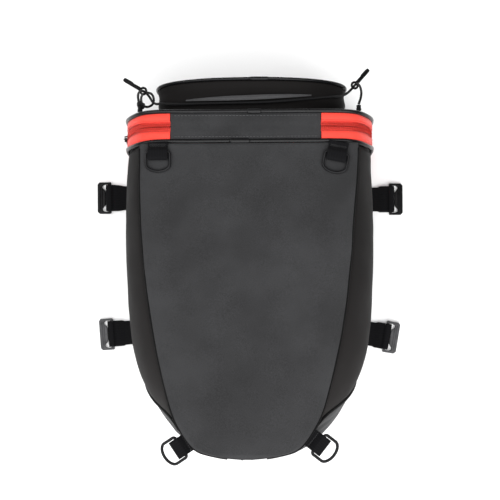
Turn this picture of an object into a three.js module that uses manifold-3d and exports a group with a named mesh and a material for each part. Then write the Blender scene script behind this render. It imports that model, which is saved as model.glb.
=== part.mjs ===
// Motorcycle tank bag lying on its front face, back panel up.
// Millimetres. +X to the bag's right, +Y towards its lid, +Z up out of the back panel.
import * as THREE from 'three';
import Module from 'manifold-3d';
import { mergeVertices } from 'three/addons/utils/BufferGeometryUtils.js';

const wasm = await Module();
wasm.setup();

// ---- driving dimensions -------------------------------------------------------------
const GAP = 0.4; // clearance between sewn neighbours
const RIM_Y = 137; // mouth of the body, where the lid band starts
const MOUTH_Y = RIM_Y - 3; // where the body's panels end, short of the rim's piping
const WALL_TOP = 168; // top edge of the side walls
const BELLY = 80; // height of the widest line of the walls
const PANEL_THICK = 5.6; // padded back panel
const WALL = 3; // laminated wall fabric
const FRONT_INSET = 30; // how far the front face sits inside the widest line
const FRONT_THICK = 4;
const BAND = 37; // lid band, rim to lid piping
const ZIP_Y = RIM_Y + BAND / 2;
const BAND_THICK = 2.4;
const HINGE_HALF = 94; // half length of the grey hinge panel
const HINGE_SIDE = 4.5; // how far its middle sits to the left
const FOLD_HALF = 0.6; // half the slit between the hinge panel's two halves
const PIPING_R = 2.5;
const SLEEVE_THICK = 0.35; // wrap over a piping's joint
const COIL = 3; // zipper coil height along Y
const COIL_SLOT = 1.8; // slot between the two coils that the slider's neck runs in
const POD_HALF_X = 124;
const POD_HALF_Z = 62;
const POD_Z = 84;
const POD_RIM_Y = 221.7;
const BAR = 3.4; // thickness of a ring's or a buckle's bar
const RING_PLAY = 1.6; // how much wider a ring or slot is than its strap
const LOOP_HOLE = 2.5; // webbing loop, inside radius round the bar
const LAYER = 1.6; // one layer of webbing
const LOOP_R = LOOP_HOLE + LAYER;
const TOP_STRAP = 25;
const BOTTOM_STRAP = 25;
const SIDE_STRAP = 34;
const SIDE_LOOP = 36.6;
const CORD_R = 1.6;
const SLIDER_Z = [99, 66]; // the two zipper sliders, parked side by side on the left side

// ---- colours ------------------------------------------------------------------------
const cloth = () => new THREE.MeshStandardMaterial({ color: 0x434346, roughness: 0.9 });
const leather = () => new THREE.MeshStandardMaterial({ color: 0x1d1d1f, roughness: 0.55 });
const red = () => new THREE.MeshStandardMaterial({ color: 0xe8432f, roughness: 0.75 });
const webbing = () => new THREE.MeshStandardMaterial({ color: 0x121213, roughness: 0.85 });
const plastic = () => new THREE.MeshStandardMaterial({ color: 0x26272a, roughness: 0.4 });
const gloss = () => new THREE.MeshStandardMaterial({ color: 0x3a3a3d, roughness: 0.3 });
const board = () => new THREE.MeshStandardMaterial({ color: 0x101010, roughness: 0.6 });
const lining = () => new THREE.MeshStandardMaterial({ color: 0x55565a, roughness: 0.8 });

const bag = new THREE.Group();

function place(name, geometry, material) {
  const mesh = new THREE.Mesh(geometry, material);
  mesh.name = name;
  bag.add(mesh);
  return mesh;
}

// ---- solids -------------------------------------------------------------------------
function toSolid(geometry) {
  const bare = geometry.clone();
  bare.deleteAttribute('normal');
  bare.deleteAttribute('uv');
  const merged = mergeVertices(bare, 1e-4);
  return new wasm.Manifold(new wasm.Mesh({
    numProp: 3,
    vertProperties: new Float32Array(merged.attributes.position.array),
    triVerts: new Uint32Array(merged.index.array),
  }));
}

function toGeometry(solid) {
  const mesh = solid.getMesh();
  const geometry = new THREE.BufferGeometry();
  geometry.setAttribute('position', new THREE.BufferAttribute(mesh.vertProperties, 3));
  geometry.setIndex(new THREE.BufferAttribute(mesh.triVerts, 1));
  return geometry;
}

function moved(geometry, x, y, z, rx = 0, ry = 0, rz = 0) {
  const matrix = new THREE.Matrix4().makeRotationFromEuler(new THREE.Euler(rx, ry, rz, 'XYZ'));
  matrix.setPosition(x, y, z);
  return geometry.clone().applyMatrix4(matrix);
}

// A closed skin through rings of points: rings join in order, flat caps close both ends.
function loftRings(rings) {
  const count = rings[0].length;
  const positions = rings.flat().flatMap((p) => [p.x, p.y, p.z]);
  const index = [];
  for (let r = 0; r + 1 < rings.length; r += 1) {
    for (let i = 0; i < count; i += 1) {
      const j = (i + 1) % count;
      const a = r * count;
      const b = a + count;
      index.push(a + i, a + j, b + j, a + i, b + j, b + i);
    }
  }
  const ends = [[0, rings[0]], [(rings.length - 1) * count, rings.at(-1)]];
  for (const [which, [start, ring]] of ends.entries()) {
    const middle = positions.length / 3;
    const centre = ring.reduce((sum, p) => sum.add(p), new THREE.Vector3()).divideScalar(count);
    positions.push(centre.x, centre.y, centre.z);
    for (let i = 0; i < count; i += 1) {
      const j = (i + 1) % count;
      if (which === 0) index.push(middle, start + j, start + i);
      else index.push(middle, start + i, start + j);
    }
  }
  return outward(positions, index);
}

// Builds the geometry and turns its faces outward whichever way the rings ran.
function outward(positions, index) {
  const corner = (i) => new THREE.Vector3().fromArray(positions, 3 * i);
  let volume = 0;
  for (let t = 0; t < index.length; t += 3) {
    const [a, b, c] = [corner(index[t]), corner(index[t + 1]), corner(index[t + 2])];
    volume += a.dot(b.cross(c));
  }
  if (volume < 0) {
    for (let t = 0; t < index.length; t += 3) {
      [index[t + 1], index[t + 2]] = [index[t + 2], index[t + 1]];
    }
  }
  const geometry = new THREE.BufferGeometry();
  geometry.setAttribute('position', new THREE.Float32BufferAttribute(positions, 3));
  geometry.setIndex(index);
  return geometry;
}

// A sheet of constant thickness: outer points from surface(a, b), inner ones set back along
// the surface normal. a and b run 0 to 1; inward(point) gives the way the inside lies.
function sheet(surface, thickness, stepsA, stepsB, inward) {
  const outer = [];
  const inner = [];
  const small = 1e-3;
  for (let i = 0; i <= stepsA; i += 1) {
    for (let j = 0; j <= stepsB; j += 1) {
      const a = i / stepsA;
      const b = j / stepsB;
      const point = surface(a, b);
      const a0 = surface(Math.max(0, a - small), b);
      const a1 = surface(Math.min(1, a + small), b);
      const b0 = surface(a, Math.max(0, b - small));
      const b1 = surface(a, Math.min(1, b + small));
      const normal = a1.sub(a0).cross(b1.sub(b0)).normalize();
      if (normal.dot(inward(point)) < 0) normal.negate();
      outer.push(point);
      inner.push(point.clone().addScaledVector(normal, thickness));
    }
  }
  const row = stepsB + 1;
  const half = outer.length;
  const index = [];
  const quad = (p, q, r, s) => index.push(p, q, r, p, r, s);
  for (let i = 0; i < stepsA; i += 1) {
    for (let j = 0; j < stepsB; j += 1) {
      const p = i * row + j;
      quad(p, p + 1, p + row + 1, p + row);
      quad(half + p, half + p + row, half + p + row + 1, half + p + 1);
    }
  }
  for (let i = 0; i < stepsA; i += 1) {
    const p = i * row;
    quad(p, p + row, half + p + row, half + p);
    const q = p + stepsB;
    quad(q, half + q, half + q + row, q + row);
  }
  for (let j = 0; j < stepsB; j += 1) {
    quad(j, half + j, half + j + 1, j + 1);
    const q = stepsA * row + j;
    quad(q, q + 1, half + q + 1, half + q);
  }
  return outward([...outer, ...inner].flatMap((p) => [p.x, p.y, p.z]), index);
}

function tube(points, radius, steps, sides) {
  const circle = new THREE.Shape(Array.from({ length: sides }, (_, i) => {
    const angle = (2 * Math.PI * i) / sides;
    return new THREE.Vector2(radius * Math.cos(angle), radius * Math.sin(angle));
  }));
  const path = new THREE.CatmullRomCurve3(points, false, 'centripetal');
  return new THREE.ExtrudeGeometry(circle, { steps, extrudePath: path, bevelEnabled: false });
}

// ---- the body's outlines ------------------------------------------------------------
const v3 = (x, y, z) => new THREE.Vector3(x, y, z);
const mirrored = (half) => [
  ...half.map(([x, y]) => v3(x, y, 0)),
  ...half.slice(0, -1).reverse().map(([x, y]) => v3(-x, y, 0)),
];
// The back panel's seam, right half, from the mouth to the middle of the bottom edge.
const seamLine = new THREE.CatmullRomCurve3(mirrored([
  [137, MOUTH_Y], [136.4, 90], [133, 29], [129.3, -20], [122.5, -79], [114.6, -125], [105.4, -165],
  [96.6, -198], [88, -219], [66, -249], [45, -257], [0, -262.5],
]), false, 'centripetal');
// The widest line of the bag, the same way round.
const bellyLine = new THREE.CatmullRomCurve3(mirrored([
  [159, MOUTH_Y], [162.5, 103], [165, 35], [163.5, -44], [162, -73], [156.5, -121],
  [144.5, -161], [123.5, -201], [98, -233], [75, -250], [40, -258], [0, -260],
]), false, 'centripetal');
for (const line of [seamLine, bellyLine]) line.arcLengthDivisions = 1200;

// A point of the wall: u runs round the bag from the mouth's right side to its left side,
// v from -1 at the front face, over 0 at the widest line, to 1 at the back panel's seam.
function wallPoint(u, v) {
  const seam = seamLine.getPointAt(u);
  const belly = bellyLine.getPointAt(u);
  if (v >= 0) {
    const bulge = 1 - v ** 2.1;
    const point = seam.lerp(belly, bulge);
    return point.setZ(BELLY + (WALL_TOP - BELLY) * v);
  }
  const tangent = bellyLine.getTangentAt(u);
  const inset = FRONT_INSET * (1 - Math.cos((-v * Math.PI) / 2) ** 0.8);
  const point = v3(belly.x + tangent.y * inset, belly.y - tangent.x * inset, 0);
  if (point.y > MOUTH_Y) point.y = MOUTH_Y;
  return point.setZ(BELLY - (BELLY - GAP) * Math.sin((-v * Math.PI) / 2) ** 0.9);
}
const bagMiddle = (point) => v3(0, Math.max(-150, Math.min(60, point.y)), BELLY).sub(point);

// Stations round the bag, as fractions of the outline's length.
const POINT_U = 0.392; // where the side panel runs out into a point
const CORNER_U = 0.438; // the bottom corner
const CREST_U = 0.25; // where the side panel's outer edge starts to rise
// The side panel's outer edge, as v: low along the side, rising to the seam at its point.
function outerEdge(u) {
  const t = THREE.MathUtils.clamp((u - CREST_U) / (POINT_U - CREST_U), 0, 1);
  return -0.3 + 1.3 * t * t * (3 - 2 * t);
}
const fromSide = (side, u) => (side > 0 ? u : 1 - u);
const SIDES = [['right', 1], ['left', -1]];

for (const [name, side] of SIDES) {
  const last = POINT_U - 0.006;
  const edgeGap = 0.008;
  const panel = (a, b) => {
    const u = a * last;
    const low = outerEdge(u) + edgeGap;
    return wallPoint(fromSide(side, u), low + (1 - low) * b);
  };
  place(`side_panel_${name}`, sheet(panel, WALL, 22, 6, bagMiddle), leather());

  const lower = (a, b) => {
    const u = a * (CORNER_U - 0.001);
    const high = u < POINT_U ? outerEdge(u) - edgeGap : 1;
    return wallPoint(fromSide(side, u), -1 + (high + 1) * b);
  };
  place(`lower_wall_${name}`, sheet(lower, WALL, 24, 7, bagMiddle), cloth());
}
const endPanel = (a, b) => {
  const start = CORNER_U + 0.001;
  return wallPoint(start + (1 - 2 * start) * a, -1 + 2 * b);
};
place('bottom_end_panel', sheet(endPanel, WALL, 8, 9, bagMiddle), cloth());

// ---- back panel, its stiffener board and the front face ------------------------------
// The outline moved inwards, its mouth edge set back, as a flat shape.
function outlineShape(line, setback, inset, count) {
  const points = Array.from({ length: count + 1 }, (_, i) => {
    const point = line.getPointAt(i / count);
    const tangent = line.getTangentAt(i / count);
    const y = Math.min(point.y - tangent.x * inset, MOUTH_Y - setback);
    return new THREE.Vector2(point.x + tangent.y * inset, y);
  });
  return new THREE.Shape(points);
}
function plate(shape, bottom, thickness, bevel) {
  const geometry = new THREE.ExtrudeGeometry(shape, {
    depth: thickness - 2 * bevel,
    bevelEnabled: bevel > 0,
    bevelThickness: bevel,
    bevelSize: bevel,
    bevelOffset: -bevel,
    bevelSegments: 1,
  });
  return geometry.translate(0, 0, bottom + bevel);
}
const PANEL_Z = WALL_TOP + GAP;
const PANEL_TOP = PANEL_Z + PANEL_THICK;
place('back_panel', plate(outlineShape(seamLine, 0, 0, 44), PANEL_Z, PANEL_THICK, 1.2), cloth());
const BOARD_THICK = 1.5;
const boardZ = PANEL_Z - BOARD_THICK - GAP;
place('back_stiffener_board', plate(outlineShape(seamLine, 3, 9, 36), boardZ, BOARD_THICK, 0), board());
const frontShape = outlineShape(bellyLine, 0, FRONT_INSET + 3 + GAP, 36);
place('front_panel', plate(frontShape, 0, FRONT_THICK, 0.8), leather());

// ---- lid band -----------------------------------------------------------------------
// The band's cross-section in the XZ plane, scaled about its middle for each layer.
const BAND_MIDDLE_Z = 88;
const bandLine = new THREE.CatmullRomCurve3([
  v3(0, 0, 172), v3(60, 0, 172), v3(108, 0, 171.5), v3(134, 0, 166), v3(148, 0, 150),
  v3(157, 0, 127), v3(159.5, 0, 106), v3(159.5, 0, 82), v3(159.5, 0, 58), v3(156.5, 0, 37),
  v3(147, 0, 18), v3(128, 0, 8.5), v3(90, 0, 5.5), v3(0, 0, 5), v3(-90, 0, 5.5),
  v3(-128, 0, 8.5), v3(-147, 0, 18), v3(-156.5, 0, 37), v3(-159.5, 0, 58), v3(-159.5, 0, 82),
  v3(-159.5, 0, 106), v3(-157, 0, 127), v3(-148, 0, 150), v3(-134, 0, 166), v3(-108, 0, 171.5),
  v3(-60, 0, 172),
], true, 'centripetal');
bandLine.arcLengthDivisions = 1600;
const BAND_X = 159.5;
const BAND_Z = 83.5;
function bandPoint(t, y, inset) {
  const point = bandLine.getPointAt(((t % 1) + 1) % 1);
  const x = point.x * (1 - inset / BAND_X);
  const z = BAND_MIDDLE_Z + (point.z - BAND_MIDDLE_Z) * (1 - inset / BAND_Z);
  return v3(x, y, z);
}
const bandInward = (point) => v3(0, point.y, BAND_MIDDLE_Z).sub(point);
const bandLength = bandLine.getLength();
const HINGE_T = HINGE_HALF / bandLength;

function bandStrip(from, to, low, high, inset, thickness, steps) {
  const surface = (a, b) => bandPoint(from + (to - from) * a, low + (high - low) * b, inset);
  return sheet(surface, thickness, steps, 1, bandInward);
}
const zipLow = ZIP_Y - COIL_SLOT / 2;
const zipHigh = ZIP_Y + COIL_SLOT / 2;
const TAPE_LOW = zipLow - COIL - GAP;
const TAPE_HIGH = zipHigh + COIL + GAP;
const LID_Y = RIM_Y + BAND;
const bandStart = RIM_Y + PIPING_R + GAP;
const bandEnd = LID_Y - PIPING_R - GAP;
const seamT = FOLD_HALF / bandLength;
const hingeMiddle = -HINGE_SIDE / bandLength;
const HINGE = [hingeMiddle - HINGE_T, hingeMiddle + HINGE_T];
place('hinge_panel_body', bandStrip(...HINGE, bandStart, ZIP_Y - FOLD_HALF, 0, BAND_THICK, 10), cloth());
place('hinge_panel_lid', bandStrip(...HINGE, ZIP_Y + FOLD_HALF, bandEnd, 0, BAND_THICK, 10), cloth());
const ROUND = [HINGE[1] + seamT, 1 + HINGE[0] - seamT];
place('red_gusset_body', bandStrip(...ROUND, bandStart, TAPE_LOW, 0, BAND_THICK, 52), red());
place('red_gusset_lid', bandStrip(...ROUND, TAPE_HIGH, bandEnd, 0, BAND_THICK, 52), red());
const COIL_OUT = 0.2; // how far the coils stand proud of the band
const COIL_THICK = 2;
place('zipper_coil_body', bandStrip(...ROUND, zipLow - COIL, zipLow, -COIL_OUT, COIL_THICK, 52), red());
place('zipper_coil_lid', bandStrip(...ROUND, zipHigh, zipHigh + COIL, -COIL_OUT, COIL_THICK, 52), red());

// ---- pipings with their joint sleeves ------------------------------------------------
function pipingRing(name, y, inset, line, sleeveX, sleeveLength, radius, steps) {
  const gapT = (sleeveLength / 2 + GAP) / bandLength;
  const middle = sleeveX / bandLength;
  const count = 34;
  const points = Array.from({ length: count + 1 }, (_, i) => {
    const t = middle + gapT + (1 - 2 * gapT) * (i / count);
    return line(t, y, inset);
  });
  place(name, tube(points, radius, steps, 6), gloss());
  const ends = [middle - sleeveLength / 2 / bandLength, middle + sleeveLength / 2 / bandLength];
  const sleeve = ends.map((t) => line(t, y, inset));
  const middlePoint = line(middle, y, inset);
  const path = [sleeve[0], middlePoint, sleeve[1]];
  place(`${name}_sleeve`, tube(path, radius + SLEEVE_THICK, 2, 8), gloss());
}
pipingRing('body_rim_piping', RIM_Y, -0.4, bandPoint, -12, 26, PIPING_R, 60);
pipingRing('lid_rim_piping', LID_Y, -0.4, bandPoint, 6, 18, PIPING_R, 60);

// ---- lid top and pod -----------------------------------------------------------------
const bandRing = (y, inset) => Array.from({ length: 44 }, (_, i) => bandPoint(i / 44, y, inset));
place('lid_top_panel', loftRings([
  bandRing(LID_Y - 1.5, 6), bandRing(LID_Y - 1.5, 3.4), bandRing(LID_Y + 2.2, 3.4),
  bandRing(LID_Y + 5.4, 14), bandRing(LID_Y + 7.6, 36),
]), leather());

function podPoint(t, y, grow) {
  const angle = 2 * Math.PI * t;
  const power = 2 / 2.4;
  const bend = (value) => Math.sign(value) * Math.abs(value) ** power;
  const x = (POD_HALF_X + grow) * bend(Math.sin(angle));
  const z = POD_Z + (POD_HALF_Z + grow) * bend(Math.cos(angle));
  return v3(x, y, z);
}
const podRing = (y, grow) => Array.from({ length: 40 }, (_, i) => podPoint(i / 40, y, grow));
const podBase = LID_Y + 8;
// the wall leans out to the rim and turns in under the top, and its inside follows
place('pod_wall', loftRings([
  podRing(podBase, -9), podRing(podBase, -5), podRing(podBase + 14, -1.5),
  podRing(POD_RIM_Y - 2.6, 0), podRing(POD_RIM_Y - 2.6, -4), podRing(podBase + 5, -9),
]), leather());
place('pod_top_panel', loftRings([
  podRing(POD_RIM_Y - 2.2, -5.2), podRing(POD_RIM_Y + 1.4, -2.6),
  podRing(POD_RIM_Y + 3.6, -14), podRing(POD_RIM_Y + 4.6, -30),
]), leather());
const podCircumference = new THREE.CatmullRomCurve3(podRing(0, 0), true).getLength();
const podSleeve = 14;
const podSleeveT = podSleeve / 2 / podCircumference;
const podGapT = podSleeveT + GAP / podCircumference;
const podEdge = (t) => podPoint(t, POD_RIM_Y, 0.9);
const podPiping = Array.from({ length: 37 }, (_, i) => podEdge(podGapT + (1 - 2 * podGapT) * (i / 36)));
const POD_PIPING_R = 2;
const podSleevePath = [podEdge(-podSleeveT), podEdge(0), podEdge(podSleeveT)];
place('pod_rim_piping', tube(podPiping, POD_PIPING_R, 54, 6), gloss());
place('pod_rim_piping_sleeve', tube(podSleevePath, POD_PIPING_R + SLEEVE_THICK, 2, 8), gloss());

// ---- the pouch inside ----------------------------------------------------------------
// Cross-sections of the lining as [y, half width, half height]; it hangs clear of the walls.
const LINER_Z = 85;
const linerStations = [
  [RIM_Y - 5, 148, 79], [40, 153, 79], [-60, 150, 79], [-140, 136, 79], [-195, 104, 78],
  [-236, 58, 72], [-247, 36, 56],
];
function linerRing([y, halfX, halfZ], inset) {
  const bend = (value) => Math.sign(value) * Math.abs(value) ** 0.5;
  return Array.from({ length: 24 }, (_, i) => {
    const angle = (2 * Math.PI * (i + 0.5)) / 24;
    const x = (halfX - inset) * bend(Math.cos(angle));
    return v3(x, y + (y < -240 ? inset : 0), LINER_Z + (halfZ - inset) * bend(Math.sin(angle)));
  });
}
place('inner_liner', loftRings([
  ...linerStations.map((station) => linerRing(station, 0)).reverse(),
  ...linerStations.map((station) => linerRing(station, 1.2)),
]), lining());

// ---- D-rings and their webbing loops -------------------------------------------------
function polygon(radius, sides) {
  return Array.from({ length: sides }, (_, i) => {
    const angle = (2 * Math.PI * (i + 0.5)) / sides;
    return new THREE.Vector2(radius * Math.cos(angle), radius * Math.sin(angle));
  });
}
// A strap end folded round a bar that lies on the local X axis: the sewn tail runs away along
// +Y, two layers thick, its underside level with the loop's lowest point. Slack is how much
// longer than round the loop is, away from the tail.
function loopTab(width, tail, hole, layer, slack = 0) {
  const radius = hole + layer;
  const low = -radius;
  const high = low + 2 * layer;
  const start = Math.asin(high / radius);
  const shape = new THREE.Shape();
  shape.moveTo(tail, low);
  shape.lineTo(tail, high);
  const facets = 9;
  for (let i = 0; i <= facets; i += 1) {
    const angle = start + ((1.5 * Math.PI - start) * i) / facets;
    shape.lineTo(radius * Math.cos(angle) - (Math.cos(angle) < 0 ? slack : 0), radius * Math.sin(angle));
  }
  const eye = polygon(hole, 10).map((p) => new THREE.Vector2(p.x < 0 ? p.x - slack : p.x, p.y));
  shape.holes.push(new THREE.Path(eye));
  const geometry = new THREE.ExtrudeGeometry(shape, { depth: width, bevelEnabled: false });
  geometry.translate(0, 0, -width / 2);
  const turn = new THREE.Matrix4().makeBasis(v3(0, 1, 0), v3(0, 0, 1), v3(1, 0, 0));
  return geometry.applyMatrix4(turn);
}

function bevelled(shape, thickness, bevel, curveSegments) {
  const geometry = new THREE.ExtrudeGeometry(shape, {
    depth: thickness - 2 * bevel,
    bevelThickness: bevel,
    bevelSize: bevel,
    bevelOffset: -bevel,
    bevelSegments: 1,
    curveSegments,
  });
  return geometry.translate(0, 0, bevel - thickness / 2);
}

// A D-ring whose bar lies on the local X axis; the bow reaches down -Y.
function dRing(inside, depth) {
  const bar = BAR / 2;
  const half = inside / 2;
  const straight = 15.5;
  const bow = (path, halfWidth, top, bowDepth) => {
    path.moveTo(halfWidth, top);
    path.lineTo(-halfWidth, top);
    path.lineTo(-halfWidth, -straight);
    path.absellipse(0, -straight, halfWidth, bowDepth, Math.PI, 2 * Math.PI, false);
    path.lineTo(halfWidth, top);
  };
  const shape = new THREE.Shape();
  bow(shape, half + BAR, bar, depth - straight - bar);
  const hole = new THREE.Path();
  bow(hole, half, -bar, depth - straight - bar - BAR);
  shape.holes.push(hole);
  return bevelled(shape, BAR, 0.8, 9);
}

// A ladder-lock frame: sewn bar on the local X axis, strap slot, then the wide ribbed bar, whose
// middle bows in towards the strap and leaves the slot open wide only at its two ends.
const BUCKLE_RAIL = 3.1;
const BUCKLE_SLOT = 7.5;
const BUCKLE_BOW = 2.8;
const BUCKLE_WIDE = 8.6;
const BUCKLE_LENGTH = BAR / 2 + BUCKLE_SLOT + BUCKLE_WIDE;
function ladderLock() {
  const half = (SIDE_LOOP + RING_PLAY) / 2;
  const outer = half + BUCKLE_RAIL;
  const shape = new THREE.Shape();
  shape.moveTo(outer, BAR / 2);
  shape.lineTo(-outer, BAR / 2);
  shape.lineTo(-outer, 3 - BUCKLE_LENGTH);
  shape.lineTo(3 - outer, -BUCKLE_LENGTH);
  shape.lineTo(outer - 3, -BUCKLE_LENGTH);
  shape.lineTo(outer, 3 - BUCKLE_LENGTH);
  const slot = new THREE.Path();
  slot.moveTo(half, -BAR / 2);
  slot.lineTo(-half, -BAR / 2);
  slot.lineTo(-half, -BAR / 2 - BUCKLE_SLOT + 2);
  slot.lineTo(2 - half, -BAR / 2 - BUCKLE_SLOT);
  slot.lineTo(5.3 - half, -BAR / 2 - BUCKLE_SLOT);
  slot.lineTo(8.3 - half, BUCKLE_BOW - BAR / 2 - BUCKLE_SLOT);
  slot.lineTo(half - 8.3, BUCKLE_BOW - BAR / 2 - BUCKLE_SLOT);
  slot.lineTo(half - 5.3, -BAR / 2 - BUCKLE_SLOT);
  slot.lineTo(half - 2, -BAR / 2 - BUCKLE_SLOT);
  slot.lineTo(half, -BAR / 2 - BUCKLE_SLOT + 2);
  shape.holes.push(slot);
  let solid = toSolid(bevelled(shape, BAR, 0.8, 1));
  for (const y of [-11.4, -14.2]) {
    const rib = new THREE.BoxGeometry(2 * half - 4, 1.4, 1.6);
    solid = solid.add(toSolid(moved(rib, 0, y, BAR / 2 + 0.4)));
  }
  return toGeometry(solid);
}

// ---- hardware placed on the bag ------------------------------------------------------
const degrees = THREE.MathUtils.degToRad;
// A frame whose +Y runs along the strap's tail, back to where it is sewn.
function strapFrame(x, y, z, heading) {
  const frame = new THREE.Group();
  frame.position.set(x, y, z);
  frame.rotation.z = degrees(heading);
  bag.add(frame);
  return frame;
}
function placeIn(frame, name, geometry, material, tilt = 0) {
  const mesh = new THREE.Mesh(geometry, material);
  mesh.name = name;
  mesh.rotation.x = degrees(tilt);
  frame.add(mesh);
}

const foldedStrap = (width, tail, slack) => loopTab(width, tail, LOOP_HOLE, LAYER, slack);
const LIE = 0.3; // clearance between a strap fitting and what it lies on
const topRingZ = PANEL_TOP + LOOP_R + LIE;
const RING_DEPTH = 26;
const RING_SLACK = 6.8; // the rings' loops are sewn this much too long
const TOP_TAIL = 10.2;
const RING_TILT = 5; // the rings' bows lean down to the cloth
const BUCKLE_TILT = 4.5; // and the buckles' wide bars to the ground
for (const [name, x, y, heading] of [['right', 109.5, 120.3, -11], ['left', -114.3, 123.1, 0]]) {
  const frame = strapFrame(x, y, topRingZ, heading);
  placeIn(frame, `top_strap_loop_${name}`, foldedStrap(TOP_STRAP, TOP_TAIL, RING_SLACK), webbing());
  placeIn(frame, `top_d_ring_${name}`, dRing(TOP_STRAP + RING_PLAY, RING_DEPTH), plastic(), RING_TILT);
}
const BOTTOM_RING_Z = 163.6;
const BOTTOM_TAIL = 4.6;
for (const [name, x, y, heading] of [['right', 84.8, -243.3, 52], ['left', -88.6, -246.1, -57]]) {
  const frame = strapFrame(x, y, BOTTOM_RING_Z, heading);
  const strap = foldedStrap(BOTTOM_STRAP, BOTTOM_TAIL, RING_SLACK);
  placeIn(frame, `bottom_strap_loop_${name}`, strap, webbing());
  placeIn(frame, `bottom_d_ring_${name}`, dRing(BOTTOM_STRAP + RING_PLAY, RING_DEPTH), plastic());
}
// Side straps lie on the ground, a wider piece of webbing sewn round their ends holds the
// buckles: [name, x and y of the bar, turn in degrees, tail].
const SIDE_DOUBLED = 15;
const sideStraps = [
  ['upper_right', 196.4, 88.9, 90, 49.4],
  ['upper_left', -199.1, 92.9, -90, 52.1],
  ['lower_right', 189, -105, 80, 46],
  ['lower_left', -197.1, -99, -86, 51],
];
for (const [name, x, y, heading, tail] of sideStraps) {
  const frame = strapFrame(x, y, LOOP_R + LIE, heading);
  const doubled = toSolid(foldedStrap(SIDE_LOOP, SIDE_DOUBLED, 0));
  const strap = doubled.add(toSolid(foldedStrap(SIDE_STRAP, tail, 0)));
  placeIn(frame, `side_strap_${name}`, toGeometry(strap), webbing());
  placeIn(frame, `side_buckle_${name}`, ladderLock(), plastic(), BUCKLE_TILT);
}

// ---- zipper sliders and pulls --------------------------------------------------------
const PULL_HOLE = 1.2;
const PULL_BAR = 1.3;
const PULL_OUT = 5.6; // how far the slider's bail stands out from its plate's inner face
const SLIDER_PLAY = 0.35; // clearance between the slider's plates and the coils
const outerX = -BAND_X - COIL_OUT - SLIDER_PLAY;
function slider() {
  const innerX = -BAND_X - COIL_OUT + COIL_THICK + SLIDER_PLAY;
  const plateX = 1.8;
  const box = (x0, x1, width, height, y = 0, z = 0) => (
    toSolid(moved(new THREE.BoxGeometry(x1 - x0, width, height), (x0 + x1) / 2, y, z))
  );
  let solid = box(outerX - plateX, outerX, 9, 11);
  solid = solid.add(box(outerX - 0.5, innerX + 0.5, COIL_SLOT - 0.8, 5));
  solid = solid.add(box(innerX, innerX + 1.4, 8, 11));
  for (const side of [-1, 1]) {
    solid = solid.add(box(outerX - PULL_OUT, outerX - 0.5, 1.2, 2.6, side * 3.2, 1));
  }
  solid = solid.add(box(outerX - PULL_OUT, outerX - PULL_OUT + PULL_BAR, 6, PULL_BAR, 0, 1));
  return toGeometry(solid);
}
const PULL_X = outerX - PULL_OUT + PULL_BAR / 2;
function pullTab() {
  const eye = toSolid(loopTab(4.2, 8, PULL_HOLE, 0.9));
  const grip = new THREE.Shape();
  grip.moveTo(-2.1, 6);
  grip.lineTo(2.1, 6);
  grip.lineTo(3.6, 12);
  grip.lineTo(3.6, 22);
  grip.lineTo(2, 24);
  grip.lineTo(-2, 24);
  grip.lineTo(-3.6, 22);
  grip.lineTo(-3.6, 12);
  const plateGeometry = new THREE.ExtrudeGeometry(grip, { depth: 1.8, bevelEnabled: false });
  const solid = eye.add(toSolid(moved(plateGeometry, 0, 0, -2.1)));
  return toGeometry(solid);
}
for (const [i, name] of ['upper', 'lower'].entries()) {
  const z = SLIDER_Z[i];
  const frame = new THREE.Group();
  frame.position.set(0, ZIP_Y, z);
  bag.add(frame);
  placeIn(frame, `zipper_slider_${name}`, slider(), plastic());
  const pull = new THREE.Group();
  pull.position.set(PULL_X, 0, 1);
  // the tab hangs down -Z with its flat side to the bag and its eye round the bar along Y
  pull.quaternion.setFromRotationMatrix(
    new THREE.Matrix4().makeBasis(v3(0, 1, 0), v3(0, 0, -1), v3(-1, 0, 0)),
  );
  frame.add(pull);
  placeIn(pull, `zipper_pull_${name}`, pullTab(), gloss());
}

// ---- grab handle on the pod ----------------------------------------------------------
const podZ = (x) => (
  POD_Z + POD_HALF_Z * Math.max(0, 1 - Math.abs(x / POD_HALF_X) ** 2.4) ** (1 / 2.4)
);
const HANDLE = { from: -82, to: 80, thick: 2.6, rise: 3, y: 196.4, slant: 5.6, dip: 2.8 };
const handleTop = (a, b) => {
  const x = HANDLE.from + (HANDLE.to - HANDLE.from) * a;
  const arch = Math.sin(Math.PI * a) ** 0.8;
  const width = 2.4 + 4.2 * arch;
  const y = HANDLE.y + HANDLE.slant * (a - 0.5) + HANDLE.dip * (1 - arch) + width * (b - 0.5);
  return v3(x, y, podZ(x) + GAP + HANDLE.thick + 0.5 + HANDLE.rise * arch);
};
place('grab_handle', sheet(handleTop, HANDLE.thick, 22, 2, () => v3(0, 0, -1)), cloth());

// ---- elastic cord, its end crimps and hooks --------------------------------------------
const cordRoute = [
  [-139.5, 188.4, 147], [-142, 196, 142], [-144, 205, 130], [-144.5, 213, 115],
  [-143.5, 218.5, 102], [-141, 220, 95.5], [-137, 217.5, 92.5], [-132.5, 211.5, 95],
  [-128.5, 204.5, 101], [-123, 199.5, 109], [-114.5, 196.8, 121], [-102, 194.2, 129.5],
  [-86, 192.2, 136.8], [-66, 191.2, 142.9], [-44, 190.7, 146.6], [-20, 190.6, 148.5],
  [5, 190.8, 148.9], [30, 191.8, 148.1], [52, 194, 145.6], [72, 196.6, 141.4],
  [90, 199.6, 135.2], [105, 203, 127.4], [117, 206.5, 116.5], [124.5, 210.5, 106.5],
  [130.5, 216, 99], [135.5, 221.5, 95.5], [139, 225.5, 97], [141.5, 225.5, 104],
  [143.2, 220.5, 116], [144, 212.5, 129], [143.6, 203.5, 140], [142, 195.5, 146],
  [139.5, 188.4, 147],
].map(([x, y, z]) => v3(x, y, z));
place('bungee_cord', tube(cordRoute, CORD_R, 72, 8), webbing());

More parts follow.
